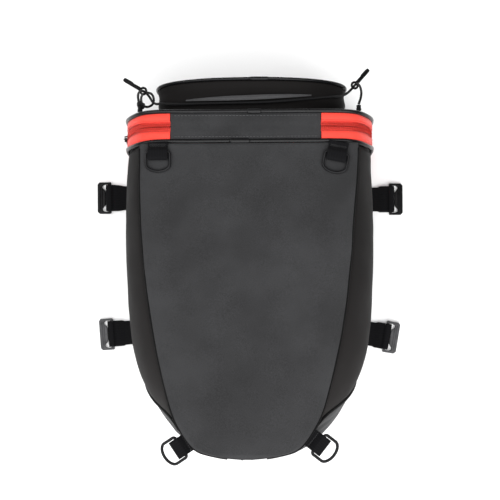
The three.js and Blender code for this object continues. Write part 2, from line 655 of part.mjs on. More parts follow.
function ferrule() {
  return moved(new THREE.CylinderGeometry(3, 3.4, 7, 12), 0, 3.5, 0);
}
for (const [name, side] of SIDES) {
  const anchor = strapFrame(side * 139.5, LID_Y + 6.2, 147, 0);
  placeIn(anchor, `cord_anchor_${name}`, ferrule(), plastic());
}

// A flat moulded hook with its eye round the local origin, shank along -Y, its bend in the YZ
// plane at right angles to the eye. The strip it is bent from is wide along X.
const HOOK_WIDE = 5;
const HOOK_THICK = 2.8;
function cordHook() {
  const eye = new THREE.TorusGeometry(4.1, 1.6, 6, 14);
  const section = new THREE.Shape(polygon(1, 8).map((p) => (
    new THREE.Vector2((p.x * HOOK_WIDE) / 2, (p.y * HOOK_THICK) / 2)
  )));
  const path = new THREE.CatmullRomCurve3([
    v3(0, -3.9, 0), v3(0, -10, 0), v3(0, -20, 0.2), v3(0, -26, 0.6), v3(0, -30.6, 2.8),
    v3(0, -31.4, 6.4), v3(0, -28.6, 9.2), v3(0, -24, 9.6), v3(0, -19, 8.6),
  ], false, 'centripetal');
  const profile = { steps: 18, extrudePath: path, bevelEnabled: false };
  const bend = new THREE.ExtrudeGeometry(section, profile);
  return toGeometry(toSolid(eye).add(toSolid(bend)));
}
// Hooks: the route point that the eye hangs on, the way the shank points, and whether the bend
// leans along the cord or back along it.
const hooks = [
  ['left', 5, v3(-0.84, 0.46, -0.22), 1],
  ['right', 26, v3(0.5, 0.84, -0.16), -1],
];
for (const [name, at, shank, lean] of hooks) {
  const mesh = place(`cord_hook_${name}`, cordHook(), plastic());
  const hole = cordRoute[at + 1].clone().sub(cordRoute[at - 1]).normalize().multiplyScalar(lean);
  const up = shank.clone().negate();
  up.addScaledVector(hole, -up.dot(hole)).normalize();
  mesh.quaternion.setFromRotationMatrix(
    new THREE.Matrix4().makeBasis(up.clone().cross(hole), up, hole),
  );
  mesh.position.copy(cordRoute[at]);
}

// ---- origin: the middle of the underside of the bag without its cord --------------------
const onCord = ['bungee_cord', 'cord_hook_left', 'cord_hook_right'];
const extent = new THREE.Box3();
bag.updateMatrixWorld(true);
bag.traverse((object) => {
  if (object.isMesh && !onCord.includes(object.name)) extent.expandByObject(object, true);
});
const middle = extent.getCenter(v3(0, 0, 0));
bag.position.set(-middle.x, -middle.y, -extent.min.z);

export default bag;
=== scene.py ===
"""A soft motorcycle tank bag on a pale floor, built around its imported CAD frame."""
import math

import bmesh
import bpy
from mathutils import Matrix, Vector, noise


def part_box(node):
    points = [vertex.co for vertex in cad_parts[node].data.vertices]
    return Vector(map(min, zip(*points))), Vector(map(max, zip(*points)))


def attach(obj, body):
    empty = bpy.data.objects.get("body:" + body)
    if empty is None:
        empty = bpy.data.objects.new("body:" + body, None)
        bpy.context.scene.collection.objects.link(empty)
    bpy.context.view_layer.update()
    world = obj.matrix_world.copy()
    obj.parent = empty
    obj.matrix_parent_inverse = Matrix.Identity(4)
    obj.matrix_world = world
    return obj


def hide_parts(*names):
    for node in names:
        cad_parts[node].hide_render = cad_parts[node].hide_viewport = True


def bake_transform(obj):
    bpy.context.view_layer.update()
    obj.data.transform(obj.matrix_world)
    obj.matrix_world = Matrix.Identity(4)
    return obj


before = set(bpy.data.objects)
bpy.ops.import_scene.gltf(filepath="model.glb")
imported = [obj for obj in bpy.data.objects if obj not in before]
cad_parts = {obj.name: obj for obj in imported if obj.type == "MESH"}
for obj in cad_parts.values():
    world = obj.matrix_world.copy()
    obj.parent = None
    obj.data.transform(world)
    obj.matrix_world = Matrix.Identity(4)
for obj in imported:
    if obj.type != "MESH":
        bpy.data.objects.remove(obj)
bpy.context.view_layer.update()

MM = 0.001

# ---- the frame's own numbers, in millimetres as in the CAD design ---------------------
PANEL_LOW, PANEL_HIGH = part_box("back_panel")
RIM_Y = 137.0
MOUTH_Y = RIM_Y - 3
SHIFT = Vector((
    (PANEL_LOW[0] + PANEL_HIGH[0]) / 2,
    PANEL_HIGH[1] - MOUTH_Y * MM,
    0.0,
))
WALL_TOP = 168.0
PANEL_TOP = PANEL_HIGH[2] / MM
BELLY = 80.0
FRONT_INSET = 30.0
BAND = 37.0
ZIP_Y = RIM_Y + BAND / 2
LID_Y = RIM_Y + BAND
HINGE_HALF = 94.0
HINGE_SIDE = 4.5
BAND_X = 159.5
BAND_Z = 83.5
BAND_MIDDLE_Z = 88.0
POD_HALF_X = 124.0
POD_HALF_Z = 62.0
POD_SIDE = 2.2
POD_POWER = 2.4
POD_Z = 84.0
POD_BASE_Y = LID_Y + 8
POD_RIM_Y = 221.7


def place(x, y, z):
    """A point of the design, in millimetres, as a point of the scene."""
    return Vector((x * MM, y * MM, z * MM)) + SHIFT


# ---- camera and light -----------------------------------------------------------------
CAMERA_HEIGHT = 1300.0
CAMERA_SIDE = 15.0
CAMERA_BACK = 139.0
CAMERA_ROLL = -0.35
FRAME_NUDGE = 0.85
IMAGE_SPAN = 625.0
SENSOR = 36.0
LIT_POINT = (0, 0, 100)
LIGHTS = (  # name, place in millimetres, size in metres, power in watts
    ("key", (500, -1400, 1400), 1.8, 34),
    ("front", (0, -2000, 520), 1.6, 18),
    ("top", (50, -500, 2300), 2.8, 72),
    ("fill", (-1500, 300, 1900), 1.6, 26),
)
SURROUND_LIGHT = 0.30


def add_object(name, data):
    made = bpy.data.objects.new(name, data)
    bpy.context.collection.objects.link(made)
    return made


def add_camera():
    """Looking straight down at the back panel, the frame shifted to keep the bag in the middle."""
    data = bpy.data.cameras.new("camera")
    data.sensor_width = SENSOR
    data.lens = SENSOR * CAMERA_HEIGHT / IMAGE_SPAN
    data.shift_x = -(CAMERA_SIDE + FRAME_NUDGE) / IMAGE_SPAN
    data.shift_y = CAMERA_BACK / IMAGE_SPAN
    camera = add_object("camera", data)
    camera.location = place(CAMERA_SIDE, -CAMERA_BACK, PANEL_TOP + CAMERA_HEIGHT)
    camera.rotation_euler.z = math.radians(CAMERA_ROLL)
    bpy.context.scene.camera = camera


def add_light(name, position, size, power):
    data = bpy.data.lights.new(name, "AREA")
    data.size = size
    data.energy = power
    light = add_object(name, data)
    light.location = place(*position)
    aim = light.location - place(*LIT_POINT)
    light.rotation_euler = aim.to_track_quat("Z", "Y").to_euler()


add_camera()
for lamp in LIGHTS:
    add_light(*lamp)
world = bpy.data.worlds.new("studio")
bpy.context.scene.world = world
world.use_nodes = True
world.node_tree.nodes["Background"].inputs["Color"].default_value = (1, 1, 1, 1)
world.node_tree.nodes["Background"].inputs["Strength"].default_value = SURROUND_LIGHT
bpy.context.scene.view_settings.view_transform = "Standard"


# ---- materials ------------------------------------------------------------------------
class Shader:
    """One procedural material: a Principled shader and the nodes that feed it."""

    def __init__(self, name, color, roughness, **sockets):
        self.material = bpy.data.materials.new(name)
        self.material.use_nodes = True
        self.tree = self.material.node_tree
        self.bsdf = self.tree.nodes["Principled BSDF"]
        self.bsdf.inputs["Base Color"].default_value = (*color, 1)
        self.bsdf.inputs["Roughness"].default_value = roughness
        for socket, value in sockets.items():
            self.bsdf.inputs[socket.replace("_", " ")].default_value = value
        self.color = color
        coordinates = self.tree.nodes.new("ShaderNodeTexCoord")
        self.spaces = {"object": coordinates.outputs["Object"], "uv": coordinates.outputs["UV"]}
        self.height = None

    def node(self, kind, **values):
        made = self.tree.nodes.new(kind)
        for key, value in values.items():
            if hasattr(made, key):
                setattr(made, key, value)
            else:
                made.inputs[key].default_value = value
        return made

    def link(self, output, target):
        self.tree.links.new(output, target)

    def texture(self, kind, space, output, **values):
        made = self.node(kind, **values)
        self.link(self.spaces[space], made.inputs["Vector"])
        return made.outputs[output]

    def noise(self, scale, detail):
        return self.texture("ShaderNodeTexNoise", "object", "Fac", Scale=scale, Detail=detail)

    def cells(self, scale):
        return self.texture("ShaderNodeTexVoronoi", "object", "Distance", Scale=scale,
                            feature="DISTANCE_TO_EDGE")

    def along(self, axis):
        """Distance along one of the frame's own axes, in metres."""
        return self.texture("ShaderNodeSeparateXYZ", "object", axis)

    def waves(self, scale, direction, space="uv"):
        return self.texture("ShaderNodeTexWave", space, "Fac", Scale=scale, bands_direction=direction)

    def weave(self, scale, directions, space="uv"):
        return self.math("MULTIPLY", *[self.waves(scale, way, space) for way in directions])

    def math(self, operation, a, b):
        made = self.node("ShaderNodeMath", operation=operation)
        for socket, value in zip(made.inputs, (a, b)):
            if isinstance(value, (int, float)):
                socket.default_value = value
            else:
                self.link(value, socket)
        return made.outputs["Value"]

    def ramp(self, factor, low, high, start=0.3, end=0.7):
        made = self.node("ShaderNodeMapRange")
        for socket, value in zip(list(made.inputs)[1:5], (start, end, low, high)):
            socket.default_value = value
        self.link(factor, made.inputs["Value"])
        return made.outputs["Result"]

    def tint(self, factor, low, high, start=0.3, end=0.7):
        """Base colour between low and high times the material's own colour."""
        mix = self.node("ShaderNodeMix", data_type="RGBA")
        self.link(self.ramp(factor, 0.0, 1.0, start, end), mix.inputs["Factor"])
        for socket, amount in ((6, low), (7, high)):
            mix.inputs[socket].default_value = (*[c * amount for c in self.color], 1)
        self.link(mix.outputs[2], self.bsdf.inputs["Base Color"])

    def gloss(self, factor, low, high):
        self.link(self.ramp(factor, low, high), self.bsdf.inputs["Roughness"])

    def bump(self, factor, depth, strength):
        """Another layer of relief, depth in millimetres, on top of those before it."""
        made = self.node("ShaderNodeBump", Strength=strength, Distance=depth * MM)
        self.link(factor, made.inputs["Height"])
        if self.height is not None:
            self.link(self.height, made.inputs["Normal"])
        self.height = made.outputs["Normal"]
        self.link(self.height, self.bsdf.inputs["Normal"])
        return self


def coated_cloth():
    made = Shader("coated_cloth", (0.0195, 0.0197, 0.0207), 0.82, Specular_IOR_Level=0.12,
                  Sheen_Weight=0.08, Sheen_Roughness=0.6)
    speckle = made.noise(1400, 2)
    patches = made.noise(14, 3)
    made.tint(made.math("ADD", made.math("MULTIPLY", speckle, 0.55), made.math("MULTIPLY", patches, 0.45)),
              0.56, 1.44, 0.38, 0.62)
    made.gloss(patches, 0.74, 0.90)
    weave = made.weave(300, "XY", "object")
    return made.bump(weave, 0.10, 0.5).bump(speckle, 0.12, 0.5).bump(patches, 0.6, 0.35).material


def leather():
    """Smooth grained leather, painted paler towards the bag's narrow end: painted light standing in for the
    brighter lighting there.
    """
    made = Shader("side_leather", (0.0074, 0.0068, 0.0067), 0.58, Specular_IOR_Level=0.03)
    patches = made.noise(18, 3)
    # painted light: the colour brightens towards the narrow end, where the lamps light the walls more
    # strongly
    painted_light_falloff = made.ramp(made.along("Y"), 1.0, 0.0, -0.17, 0.08)
    made.tint(made.math("ADD", painted_light_falloff, made.math("MULTIPLY", patches, 0.3)), 0.95, 2.1, 0.0, 1.15)
    made.gloss(patches, 0.52, 0.64)
    return made.bump(made.cells(620), 0.16, 0.35).bump(made.noise(60, 4), 0.35, 0.30).material


def strap_webbing():
    made = Shader("strap_webbing", (0.0042, 0.0042, 0.0048), 0.78, Specular_IOR_Level=0.06,
                  Sheen_Weight=0.02, Sheen_Roughness=0.45)
    ribs, picks = made.waves(95, "X"), made.waves(210, "Y")
    made.tint(made.math("MULTIPLY", ribs, picks), 0.85, 1.25, 0.1, 0.8)
    return made.bump(ribs, 0.16, 0.8).bump(picks, 0.12, 0.6).bump(made.noise(700, 2), 0.1, 0.5).material


def braid():
    made = Shader("cord_braid", (0.006, 0.006, 0.0065), 0.62, Specular_IOR_Level=0.15)
    left, right = made.waves(260, "DIAGONAL"), made.waves(420, "Y")
    made.tint(made.math("MULTIPLY", left, right), 0.7, 2.2, 0.1, 0.8)
    return made.bump(left, 0.25, 0.8).bump(right, 0.2, 0.6).material


def finish(name, color, roughness, tint, bumps, gloss=None, **sockets):
    """A simpler material: tint and gloss are (noise, low, high), a bump (texture, depth, strength)."""
    made = Shader(name, color, roughness, **sockets)
    made.tint(made.noise(*tint[0]), *tint[1:])
    if gloss:
        made.gloss(made.noise(*gloss[0]), *gloss[1:])
    for (kind, *values), depth, strength in bumps:
        made.bump(getattr(made, kind)(*values), depth, strength)
    return made.material


def plastic(name, color):
    return finish(name, color, 0.42, ((120, 3), 0.8, 1.4), [(("noise", 1500, 2), 0.05, 0.4)],
                  ((260, 3), 0.34, 0.55), Specular_IOR_Level=0.10)


def thread(name, color):
    return finish(name, color, 0.55, ((1800, 2), 0.7, 1.2), [(("waves", 900, "Y"), 0.1, 0.5)],
                  Specular_IOR_Level=0.4)


CLOTH = coated_cloth()
LEATHER = leather()
RED = finish("red_cloth", (0.76, 0.046, 0.028), 0.68, ((900, 2), 0.86, 1.08),
             [(("weave", 260, "XY"), 0.22, 0.7), (("noise", 40, 3), 0.5, 0.4)],
             Specular_IOR_Level=0.3, Sheen_Weight=0.15, Sheen_Roughness=0.5)
TAPE = finish("zipper_tape", (0.58, 0.030, 0.019), 0.55, ((700, 2), 0.8, 1.1),
              [(("waves", 420, "X"), 0.25, 0.8)], Specular_IOR_Level=0.35)
VINYL = finish("piping_vinyl", (0.004, 0.004, 0.0045), 0.22, ((90, 3), 0.9, 1.1),
               [(("noise", 210, 3), 0.25, 0.4)], ((60, 3), 0.24, 0.32), Specular_IOR_Level=0.18)
WEBBING = strap_webbing()
PLASTIC = plastic("moulded_plastic", (0.003, 0.003, 0.0033))
# painted reflection: a paler copy of the black moulded plastic, standing for the light the lower buckles
# reflect
REFLECTION_GREY_PLASTIC = plastic("painted_reflection_plastic", (0.05, 0.05, 0.052))
COATING = finish("ring_coating", (0.005, 0.005, 0.0055), 0.34, ((150, 4), 0.7, 1.5),
                 [(("noise", 900, 2), 0.06, 0.4)], ((300, 3), 0.26, 0.46), Specular_IOR_Level=0.12)
RED_THREAD = thread("red_thread", (0.60, 0.035, 0.022))
BLACK_THREAD = thread("black_thread", (0.020, 0.020, 0.021))
GREY_THREAD = thread("grey_thread", (0.07, 0.07, 0.073))
BRAID = braid()
HANDLE = finish("handle_cloth", (0.045, 0.045, 0.047), 0.6, ((500, 2), 0.85, 1.15),
                [(("waves", 240, "X"), 0.2, 0.6)],
                Specular_IOR_Level=0.2, Sheen_Weight=0.1, Sheen_Roughness=0.4)
LINING = finish("lining_cloth", (0.085, 0.086, 0.090), 0.72, ((25, 3), 0.8, 1.2),
                [(("weave", 300, "XZ", "object"), 0.12, 0.6), (("noise", 35, 4), 1.2, 0.5)],
                Specular_IOR_Level=0.35, Sheen_Weight=0.2)
BOARD = finish("board_plastic", (0.018, 0.018, 0.019), 0.5, ((60, 3), 0.8, 1.2),
               [(("noise", 400, 2), 0.05, 0.4)])
RUBBER = finish("pull_rubber", (0.010, 0.010, 0.010), 0.5, ((200, 3), 0.8, 1.4),
                [(("waves", 200, "Y"), 0.3, 0.8)], Specular_IOR_Level=0.2)
BINDING = finish("edge_binding", (0.003, 0.003, 0.003), 0.6, ((60, 3), 0.8, 1.3),
                 [(("noise", 300, 3), 0.2, 0.4)], Specular_IOR_Level=0.06)


# ---- curves ---------------------------------------------------------------------------
class Line:
    """A centripetal Catmull-Rom curve through points, read by its fraction of length."""

    def __init__(self, points, closed=False, samples=40):
        points = [Vector(p) for p in points]
        if closed:
            chain = [points[-1]] + points + points[:2]
        else:
            chain = [points[0] * 2 - points[1]] + points + [points[-1] * 2 - points[-2]]
        self.points = []
        for i in range(len(chain) - 3):
            self.points += [self.between(chain[i:i + 4], k / samples) for k in range(samples)]
        self.points.append(chain[-2].copy())
        self.lengths = [0.0]
        for a, b in zip(self.points, self.points[1:]):
            self.lengths.append(self.lengths[-1] + (b - a).length)
        self.length = self.lengths[-1]

    @staticmethod
    def between(four, fraction):
        p0, p1, p2, p3 = four
        t = [0.0]
        for a, b in zip(four, four[1:]):
            t.append(t[-1] + max(1e-6, (b - a).length ** 0.5))
        at = t[1] + (t[2] - t[1]) * fraction
        mix = lambda a, b, ta, tb: a * ((tb - at) / (tb - ta)) + b * ((at - ta) / (tb - ta))
        a1, a2, a3 = mix(p0, p1, t[0], t[1]), mix(p1, p2, t[1], t[2]), mix(p2, p3, t[2], t[3])
        return mix(mix(a1, a2, t[0], t[2]), mix(a2, a3, t[1], t[3]), t[1], t[2])

    def at(self, u):
        target = max(0.0, min(1.0, u)) * self.length
        low, high = 0, len(self.lengths) - 1
        while high - low > 1:
            middle = (low + high) // 2
            if self.lengths[middle] <= target:
                low = middle
            else:
                high = middle
        span = self.lengths[high] - self.lengths[low]
        return self.points[low].lerp(self.points[high], (target - self.lengths[low]) / span if span else 0)

    def tangent(self, u, step=1e-3):
        return (self.at(u + step) - self.at(u - step)).normalized()

    def spots(self, steps):
        """Evenly spaced points from end to end."""
        return [self.at(i / steps) for i in range(steps + 1)]


def smooth(value, low, high):
    t = max(0.0, min(1.0, (value - low) / (high - low)))
    return t * t * (3 - 2 * t)


def bent(value, power):
    """A sine or cosine bent to square off an oval."""
    return math.copysign(abs(value) ** power, value)


def mirrored(half):
    return [(x, y, 0) for x, y in half] + [(-x, y, 0) for x, y in half[-2::-1]]


SEAM = Line(mirrored([
    (137, MOUTH_Y), (136.4, 90), (133, 29), (129.3, -20), (122.5, -79), (114.6, -125), (105.4, -165),
    (96.6, -198), (88, -219), (66, -249), (45, -257), (0, -262.5),
]))
WIDEST = Line(mirrored([
    (159, MOUTH_Y), (162.5, 103), (165, 35), (163.5, -44), (162, -73), (156.5, -121),
    (144.5, -161), (123.5, -201), (98, -233), (75, -250), (40, -258), (0, -260),
]))
# fractions round the seam: where the crescent panel comes to a point, where the wall turns to
# the end panel, and where the crescent's outer edge starts to rise
POINT_U = 0.392
CORNER_U = 0.438
CREST_U = 0.28
CREST_LOW = -0.3
BELLY_TUCK = 2.6


def lean(y):
    """How far the back panel sits off to the left, more so towards its narrow end."""
    return -0.5 - 3.2 * smooth(-y, -RIM_Y, -20) - 1.5 * smooth(-y, 100, 230)


def wall_point(u, v):
    """A point of the wall, as in the CAD design: v is -1 at the front face, 1 at the seam."""
    seam, belly = SEAM.at(u), WIDEST.at(u)
    belly.x -= BELLY_TUCK * smooth(belly.x, 60, 140) * (1 - smooth(belly.y, 108, 134))
    if v >= 0:
        point = seam.lerp(belly, 1 - v ** 2.1)
        point.x += lean(seam.y) * v * v
        point.z = BELLY + (WALL_TOP - BELLY) * v
        return point
    tangent = WIDEST.tangent(u)
    angle = -v * math.pi / 2
    inset = FRONT_INSET * (1 - max(0.0, math.cos(angle)) ** 0.8)
    point = Vector((belly.x + tangent.y * inset, min(belly.y - tangent.x * inset, MOUTH_Y), 0))
    point.z = BELLY - (BELLY - 0.4) * math.sin(angle) ** 0.9
    return point


def outer_edge(u):
    """How high on the wall the crescent panel's outer edge runs, as wall_point's v."""
    return CREST_LOW + (1 - CREST_LOW) * smooth(u, CREST_U, POINT_U)


BAND_HALF = [
    (0, 172), (60, 172), (108, 171.5), (134, 166), (148, 150), (157, 127), (159.5, 106),
    (159.5, 82), (159.5, 58), (156.5, 37), (147, 18), (128, 8.5), (90, 5.5), (0, 5),
]
BAND_LINE = Line(
    [(x, 0, z) for x, z in BAND_HALF] + [(-x, 0, z) for x, z in BAND_HALF[-2:0:-1]], closed=True,
)
HINGE_T = HINGE_HALF / BAND_LINE.length
HINGE_MIDDLE = -HINGE_SIDE / BAND_LINE.length


def band_point(t, y, out=0.0):
    """A point of the lid band's section; t runs round it from the middle of the top."""
    point = BAND_LINE.at(t % 1.0)
    x = point.x * (1 + out / BAND_X)
    z = BAND_MIDDLE_Z + (point.z - BAND_MIDDLE_Z) * (1 + out / BAND_Z)
    return Vector((x, y, z))


def pod_point(t, y, grow=0.0):
    """A point of the pod's oval section, grown outwards by so many millimetres."""
    angle = 2 * math.pi * t
    x = (POD_HALF_X + grow) * bent(math.sin(angle), 2 / POD_POWER)
    z = (POD_HALF_Z + grow) * bent(math.cos(angle), 2 / POD_POWER)
    return Vector((POD_SIDE + x, y, POD_Z + z))


def ripple(point, scale, seed=0.0):
    """Smooth noise between about -1 and 1, at a wavelength of scale millimetres."""
    return noise.noise(Vector(point) / scale + Vector((seed, seed * 1.7, -seed)))


# ---- mesh building --------------------------------------------------------------------
def build(name, points, faces, uvs, material, body):
    """A mesh from design points in millimetres; uvs holds one (u, v) in metres per point."""
    mesh = bpy.data.meshes.new(name)
    mesh.from_pydata([place(*p) for p in points], [], faces)
    layer = mesh.uv_layers.new(name="metric")
    for loop in mesh.loops:
        layer.data[loop.index].uv = uvs[loop.vertex_index]
    bm = bmesh.new()
    bm.from_mesh(mesh)
    bmesh.ops.recalc_face_normals(bm, faces=bm.faces)
    bm.to_mesh(mesh)
    bm.free()
    for polygon in mesh.polygons:
        polygon.use_smooth = True
    piece = add_object(name, mesh)
    mesh.materials.append(material)
    if body:
        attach(piece, body)
    return piece


def stands_for(piece, slot, *nodes):
    """The piece hides the CAD nodes it replaces; slot is not used."""
    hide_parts(*nodes)


def slab_faces(rows, columns):
    """Faces of a slab whose two skins are grids of points, one after the other."""
    half = rows * columns
    faces = []
    for i in range(rows - 1):
        for j in range(columns - 1):
            p = i * columns + j
            faces.append((p, p + 1, p + columns + 1, p + columns))
            faces.append((half + p, half + p + columns, half + p + columns + 1, half + p + 1))
        for p in (i * columns, (i + 1) * columns - 1):
            faces.append((p, p + columns, half + p + columns, half + p))
    for start in (0, half - columns):
        for p in range(start, start + columns - 1):
            faces.append((p, half + p, half + p + 1, p + 1))
    return faces


def ring_faces(rings, count, closed=False):
    """Faces between rings of count points; closed joins the last ring to the first."""
    faces = []
    for r in range(rings if closed else rings - 1):
        a, b = r * count, (r + 1) % rings * count
        for i in range(count):
            j = (i + 1) % count
            faces.append((a + i, a + j, b + j, b + i))
    return faces


ROLL_WIDTH = 2.4


def padded_sheet(name, surface, steps, thickness, material, body, roll=2.0, inward=None):
    """A thick panel over surface(a, b), its four edges rolled inwards like sewn fabric."""
    nu, nv = steps
    rows = [[surface(i / nu, j / nv) for j in range(nv + 1)] for i in range(nu + 1)]
    middle = inward or (lambda p: Vector((0, max(-150, min(60, p.y)), BELLY)) - p)
    outer, inner, uvs = [], [], []
    along = 0.0
    for i in range(nu + 1):
        if i:
            along += (rows[i][nv // 2] - rows[i - 1][nv // 2]).length
        across = 0.0
        for j in range(nv + 1):
            if j:
                across += (rows[i][j] - rows[i][j - 1]).length
            point = rows[i][j]
            du = rows[min(i + 1, nu)][j] - rows[max(i - 1, 0)][j]
            dv = rows[i][min(j + 1, nv)] - rows[i][max(j - 1, 0)]
            normal = du.cross(dv)
            normal = normal.normalized() if normal.length > 1e-9 else Vector((0, 0, 1))
            if normal.dot(middle(point)) < 0:
                normal.negate()
            edge = min((point - other).length for other in (rows[0][j], rows[nu][j], rows[i][0], rows[i][nv]))
            sink = roll * math.exp(-(edge / ROLL_WIDTH) ** 2)
            outer.append(point + normal * min(sink, thickness * 0.7))
            inner.append(point + normal * thickness)
            uvs.append((across * MM, along * MM))
    return build(name, outer + inner, slab_faces(nu + 1, nv + 1), uvs + uvs, material, body)


def frames_along(points, closed=False):
    """Tangent, side and up at each point, carried along without twisting."""
    count = len(points)
    tangents = []
    for i in range(count):
        if closed:
            tangents.append((points[(i + 1) % count] - points[i - 1]).normalized())
        else:
            tangents.append((points[min(i + 1, count - 1)] - points[max(i - 1, 0)]).normalized())
    start = Vector((0, 0, 1)) if abs(tangents[0].z) < 0.9 else Vector((1, 0, 0))
    side = start.cross(tangents[0]).normalized()
    out = []
    for tangent in tangents:
        side = (side - tangent * side.dot(tangent)).normalized()
        out.append((tangent, side, tangent.cross(side)))
    return out


def tube_data(points, radius, sides=12, closed=False):
    """Points, faces and uvs of a tube; radius is a number or a function of the fraction."""
    points = [Vector(p) for p in points]
    size = radius if callable(radius) else (lambda fraction: radius)
    rings, uvs = [], []
    along = 0.0
    count = len(points)
    for i, (point, (tangent, side, up)) in enumerate(zip(points, frames_along(points, closed))):
        if i:
            along += (point - points[i - 1]).length
        r = size(i / (count - 1))
        for k in range(sides):
            angle = 2 * math.pi * k / sides
            rings.append(point + (side * math.cos(angle) + up * math.sin(angle)) * r)
            uvs.append((2 * math.pi * r * k / sides * MM, along * MM))
    faces = ring_faces(count, sides, closed)
    if not closed:
        faces.append(tuple(range(sides)))
        faces.append(tuple(range(len(rings) - sides, len(rings)))[::-1])
    return rings, faces, uvs


def tube(name, points, radius, material, body, sides=12, closed=False):
    return build(name, *tube_data(points, radius, sides, closed), material, body)


def joined(name, parts, material, body):
    """Many (points, faces, uvs) parts as one mesh."""
    points, faces, uvs = [], [], []
    for p, f, t in parts:
        offset = len(points)
        points += p
        uvs += t
        faces += [tuple(i + offset for i in face) for face in f]
    return build(name, points, faces, uvs, material, body)


def stitches(name, path, lift, material, body, length=3.0, pitch=4.2, radius=0.34):
    """A row of stitches along path(s), s in millimetres from 0 to its end: (point, outward)."""
    end = path(None)
    parts = []
    count = max(1, int(end / pitch))
    for k in range(count):
        middle = (k + 0.5) * end / count
        spots = []
        for f, height in ((-0.5, -0.45), (-0.42, 0.0), (0, 0.22), (0.42, 0.0), (0.5, -0.45)):
            point, outward = path(middle + f * length)
            spots.append(point + outward * (lift + height * radius * 2))
        parts.append(tube_data(spots, lambda f: radius * (0.55 + 0.45 * math.sin(math.pi * f)), 5))
    joined(name, parts, material, body)


def loft(rings):
    """Points, faces and uvs of a closed skin through rings of equal count, in design millimetres."""
    count = len(rings[0])
    points = [Vector(p) for ring in rings for p in ring]
    uvs = []
    down = 0.0
    for r, ring in enumerate(rings):
        if r:
            down += (ring[0] - rings[r - 1][0]).length
        along = 0.0
        for i, p in enumerate(ring):
            if i:
                along += (p - ring[i - 1]).length
            uvs.append((along * MM, down * MM))
    faces = ring_faces(len(rings), count)
    for start, flip in ((0, False), ((len(rings) - 1) * count, True)):
        middle = len(points)
        points.append(sum(points[start:start + count], Vector()) / count)
        uvs.append((0.0, 0.0))
        for i in range(count):
            a, b = start + i, start + (i + 1) % count
            faces.append((middle, a, b) if flip else (middle, b, a))
    return points, faces, uvs


# ---- back panel, stiffener, front and walls ---------------------------------------------
PANEL_THICK = 5.0
PANEL_REACH = 262.5
PANEL_END = 0.988  # the last row of the panel, short of the seam's own tip
FRONT_THICK = 3.6
LEATHER_THICK = 2.6
CLOTH_THICK = 2.4
BEAD_R = 1.4


def panel_row(a):
    """The back panel's left and right edge points at one station from mouth to narrow end."""
    right = SEAM.at(0.5 * a)
    x_lean = lean(right.y)
    wave = 0.8 * ripple((right.y, 0, 0), 26, 3.1) * smooth(-right.y, 200, 260)
    return Vector((-right.x + x_lean, right.y + wave, 0)), Vector((right.x + x_lean, right.y + wave, 0))


def bunched(fraction):
    """Columns bunch towards the edges, where a panel rolls over."""
    return 0.5 - 0.5 * math.cos(math.pi * fraction)


def panel_surface(a, b):
    left, right = panel_row(a * PANEL_END)
    b = bunched(b)
    point = left.lerp(right, b)
    edge = min((point - left).length, (right - point).length, point.y + PANEL_REACH, 14)
    crown = 1.3 * math.sin(math.pi * b) * smooth(a, 0.0, 0.2) * smooth(1 - a, 0, 0.3)
    point.z = PANEL_TOP - 0.4 - 2.2 * (1 - smooth(edge, 0, 7)) + crown
    point.z += 0.55 * ripple(point, 75, 1.0) + 0.35 * ripple(point, 30, 2.0)
    return point


back = padded_sheet("back_panel_cloth", panel_surface, (150, 96), PANEL_THICK, CLOTH, "bag",
                    roll=0, inward=lambda p: Vector((0, 0, -1)))
stands_for(back, "back_panel_fabric", "back_panel")
for name, half in (("right", 1), ("left", 0)):
    seam = [panel_row(i / 150)[half] for i in range(2, 143)]
    bead = [Vector((p.x, p.y, PANEL_TOP - 3.6)) for p in seam]
    edge_bead = tube(f"back_panel_edge_bead_{name}", bead, BEAD_R, BINDING, "bag")
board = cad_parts["back_stiffener_board"].data.materials
board.clear()
board.append(BOARD)

SIDES = (("right", 1), ("left", -1))


def on_side(side, u):
    return u if side > 0 else 1 - u


def crescent(side):
    def surface(a, b):
        u = a * (POINT_U - 0.004)
        low = outer_edge(u) + 0.012
        point = wall_point(on_side(side, u), low + (1 - low) * b)
        away = Vector((point.x, 0.3 * min(0, point.y + 60), (point.z - BELLY) * 0.5)).normalized()
        full = math.sin(math.pi * b) ** 0.7 * smooth(1 - a, 0, 0.12)
        dents = 0.9 * ripple(point, 70, 5.0 + side) + 0.45 * ripple(point, 26, 7.0 + side)
        return point + away * (1.2 * full + dents * full)
    return surface


def lower_side(side):
    def surface(a, b):
        u = a * (CORNER_U - 0.001)
        high = outer_edge(u) - 0.006 if u < POINT_U else 1.0
        point = wall_point(on_side(side, u), -1 + (high + 1) * b)
        away = Vector((point.x, 0.3 * min(0, point.y + 60), 0)).normalized()
        full = math.sin(math.pi * min(1, b * 1.02)) ** 0.6
        dents = 1.0 * ripple(point, 55, 9.0 + side) + 0.5 * ripple(point, 22, 11.0)
        gather = smooth(u, 0.34, 0.42) * smooth(point.z, 95, 140)
        wander = 2.2 * ripple(point, 24, 13.0 + side)
        folds = gather * 1.3 * math.sin((point.y + 0.35 * point.z) / 2.0 + wander)
        return point + away * (dents * full + folds)
    return surface


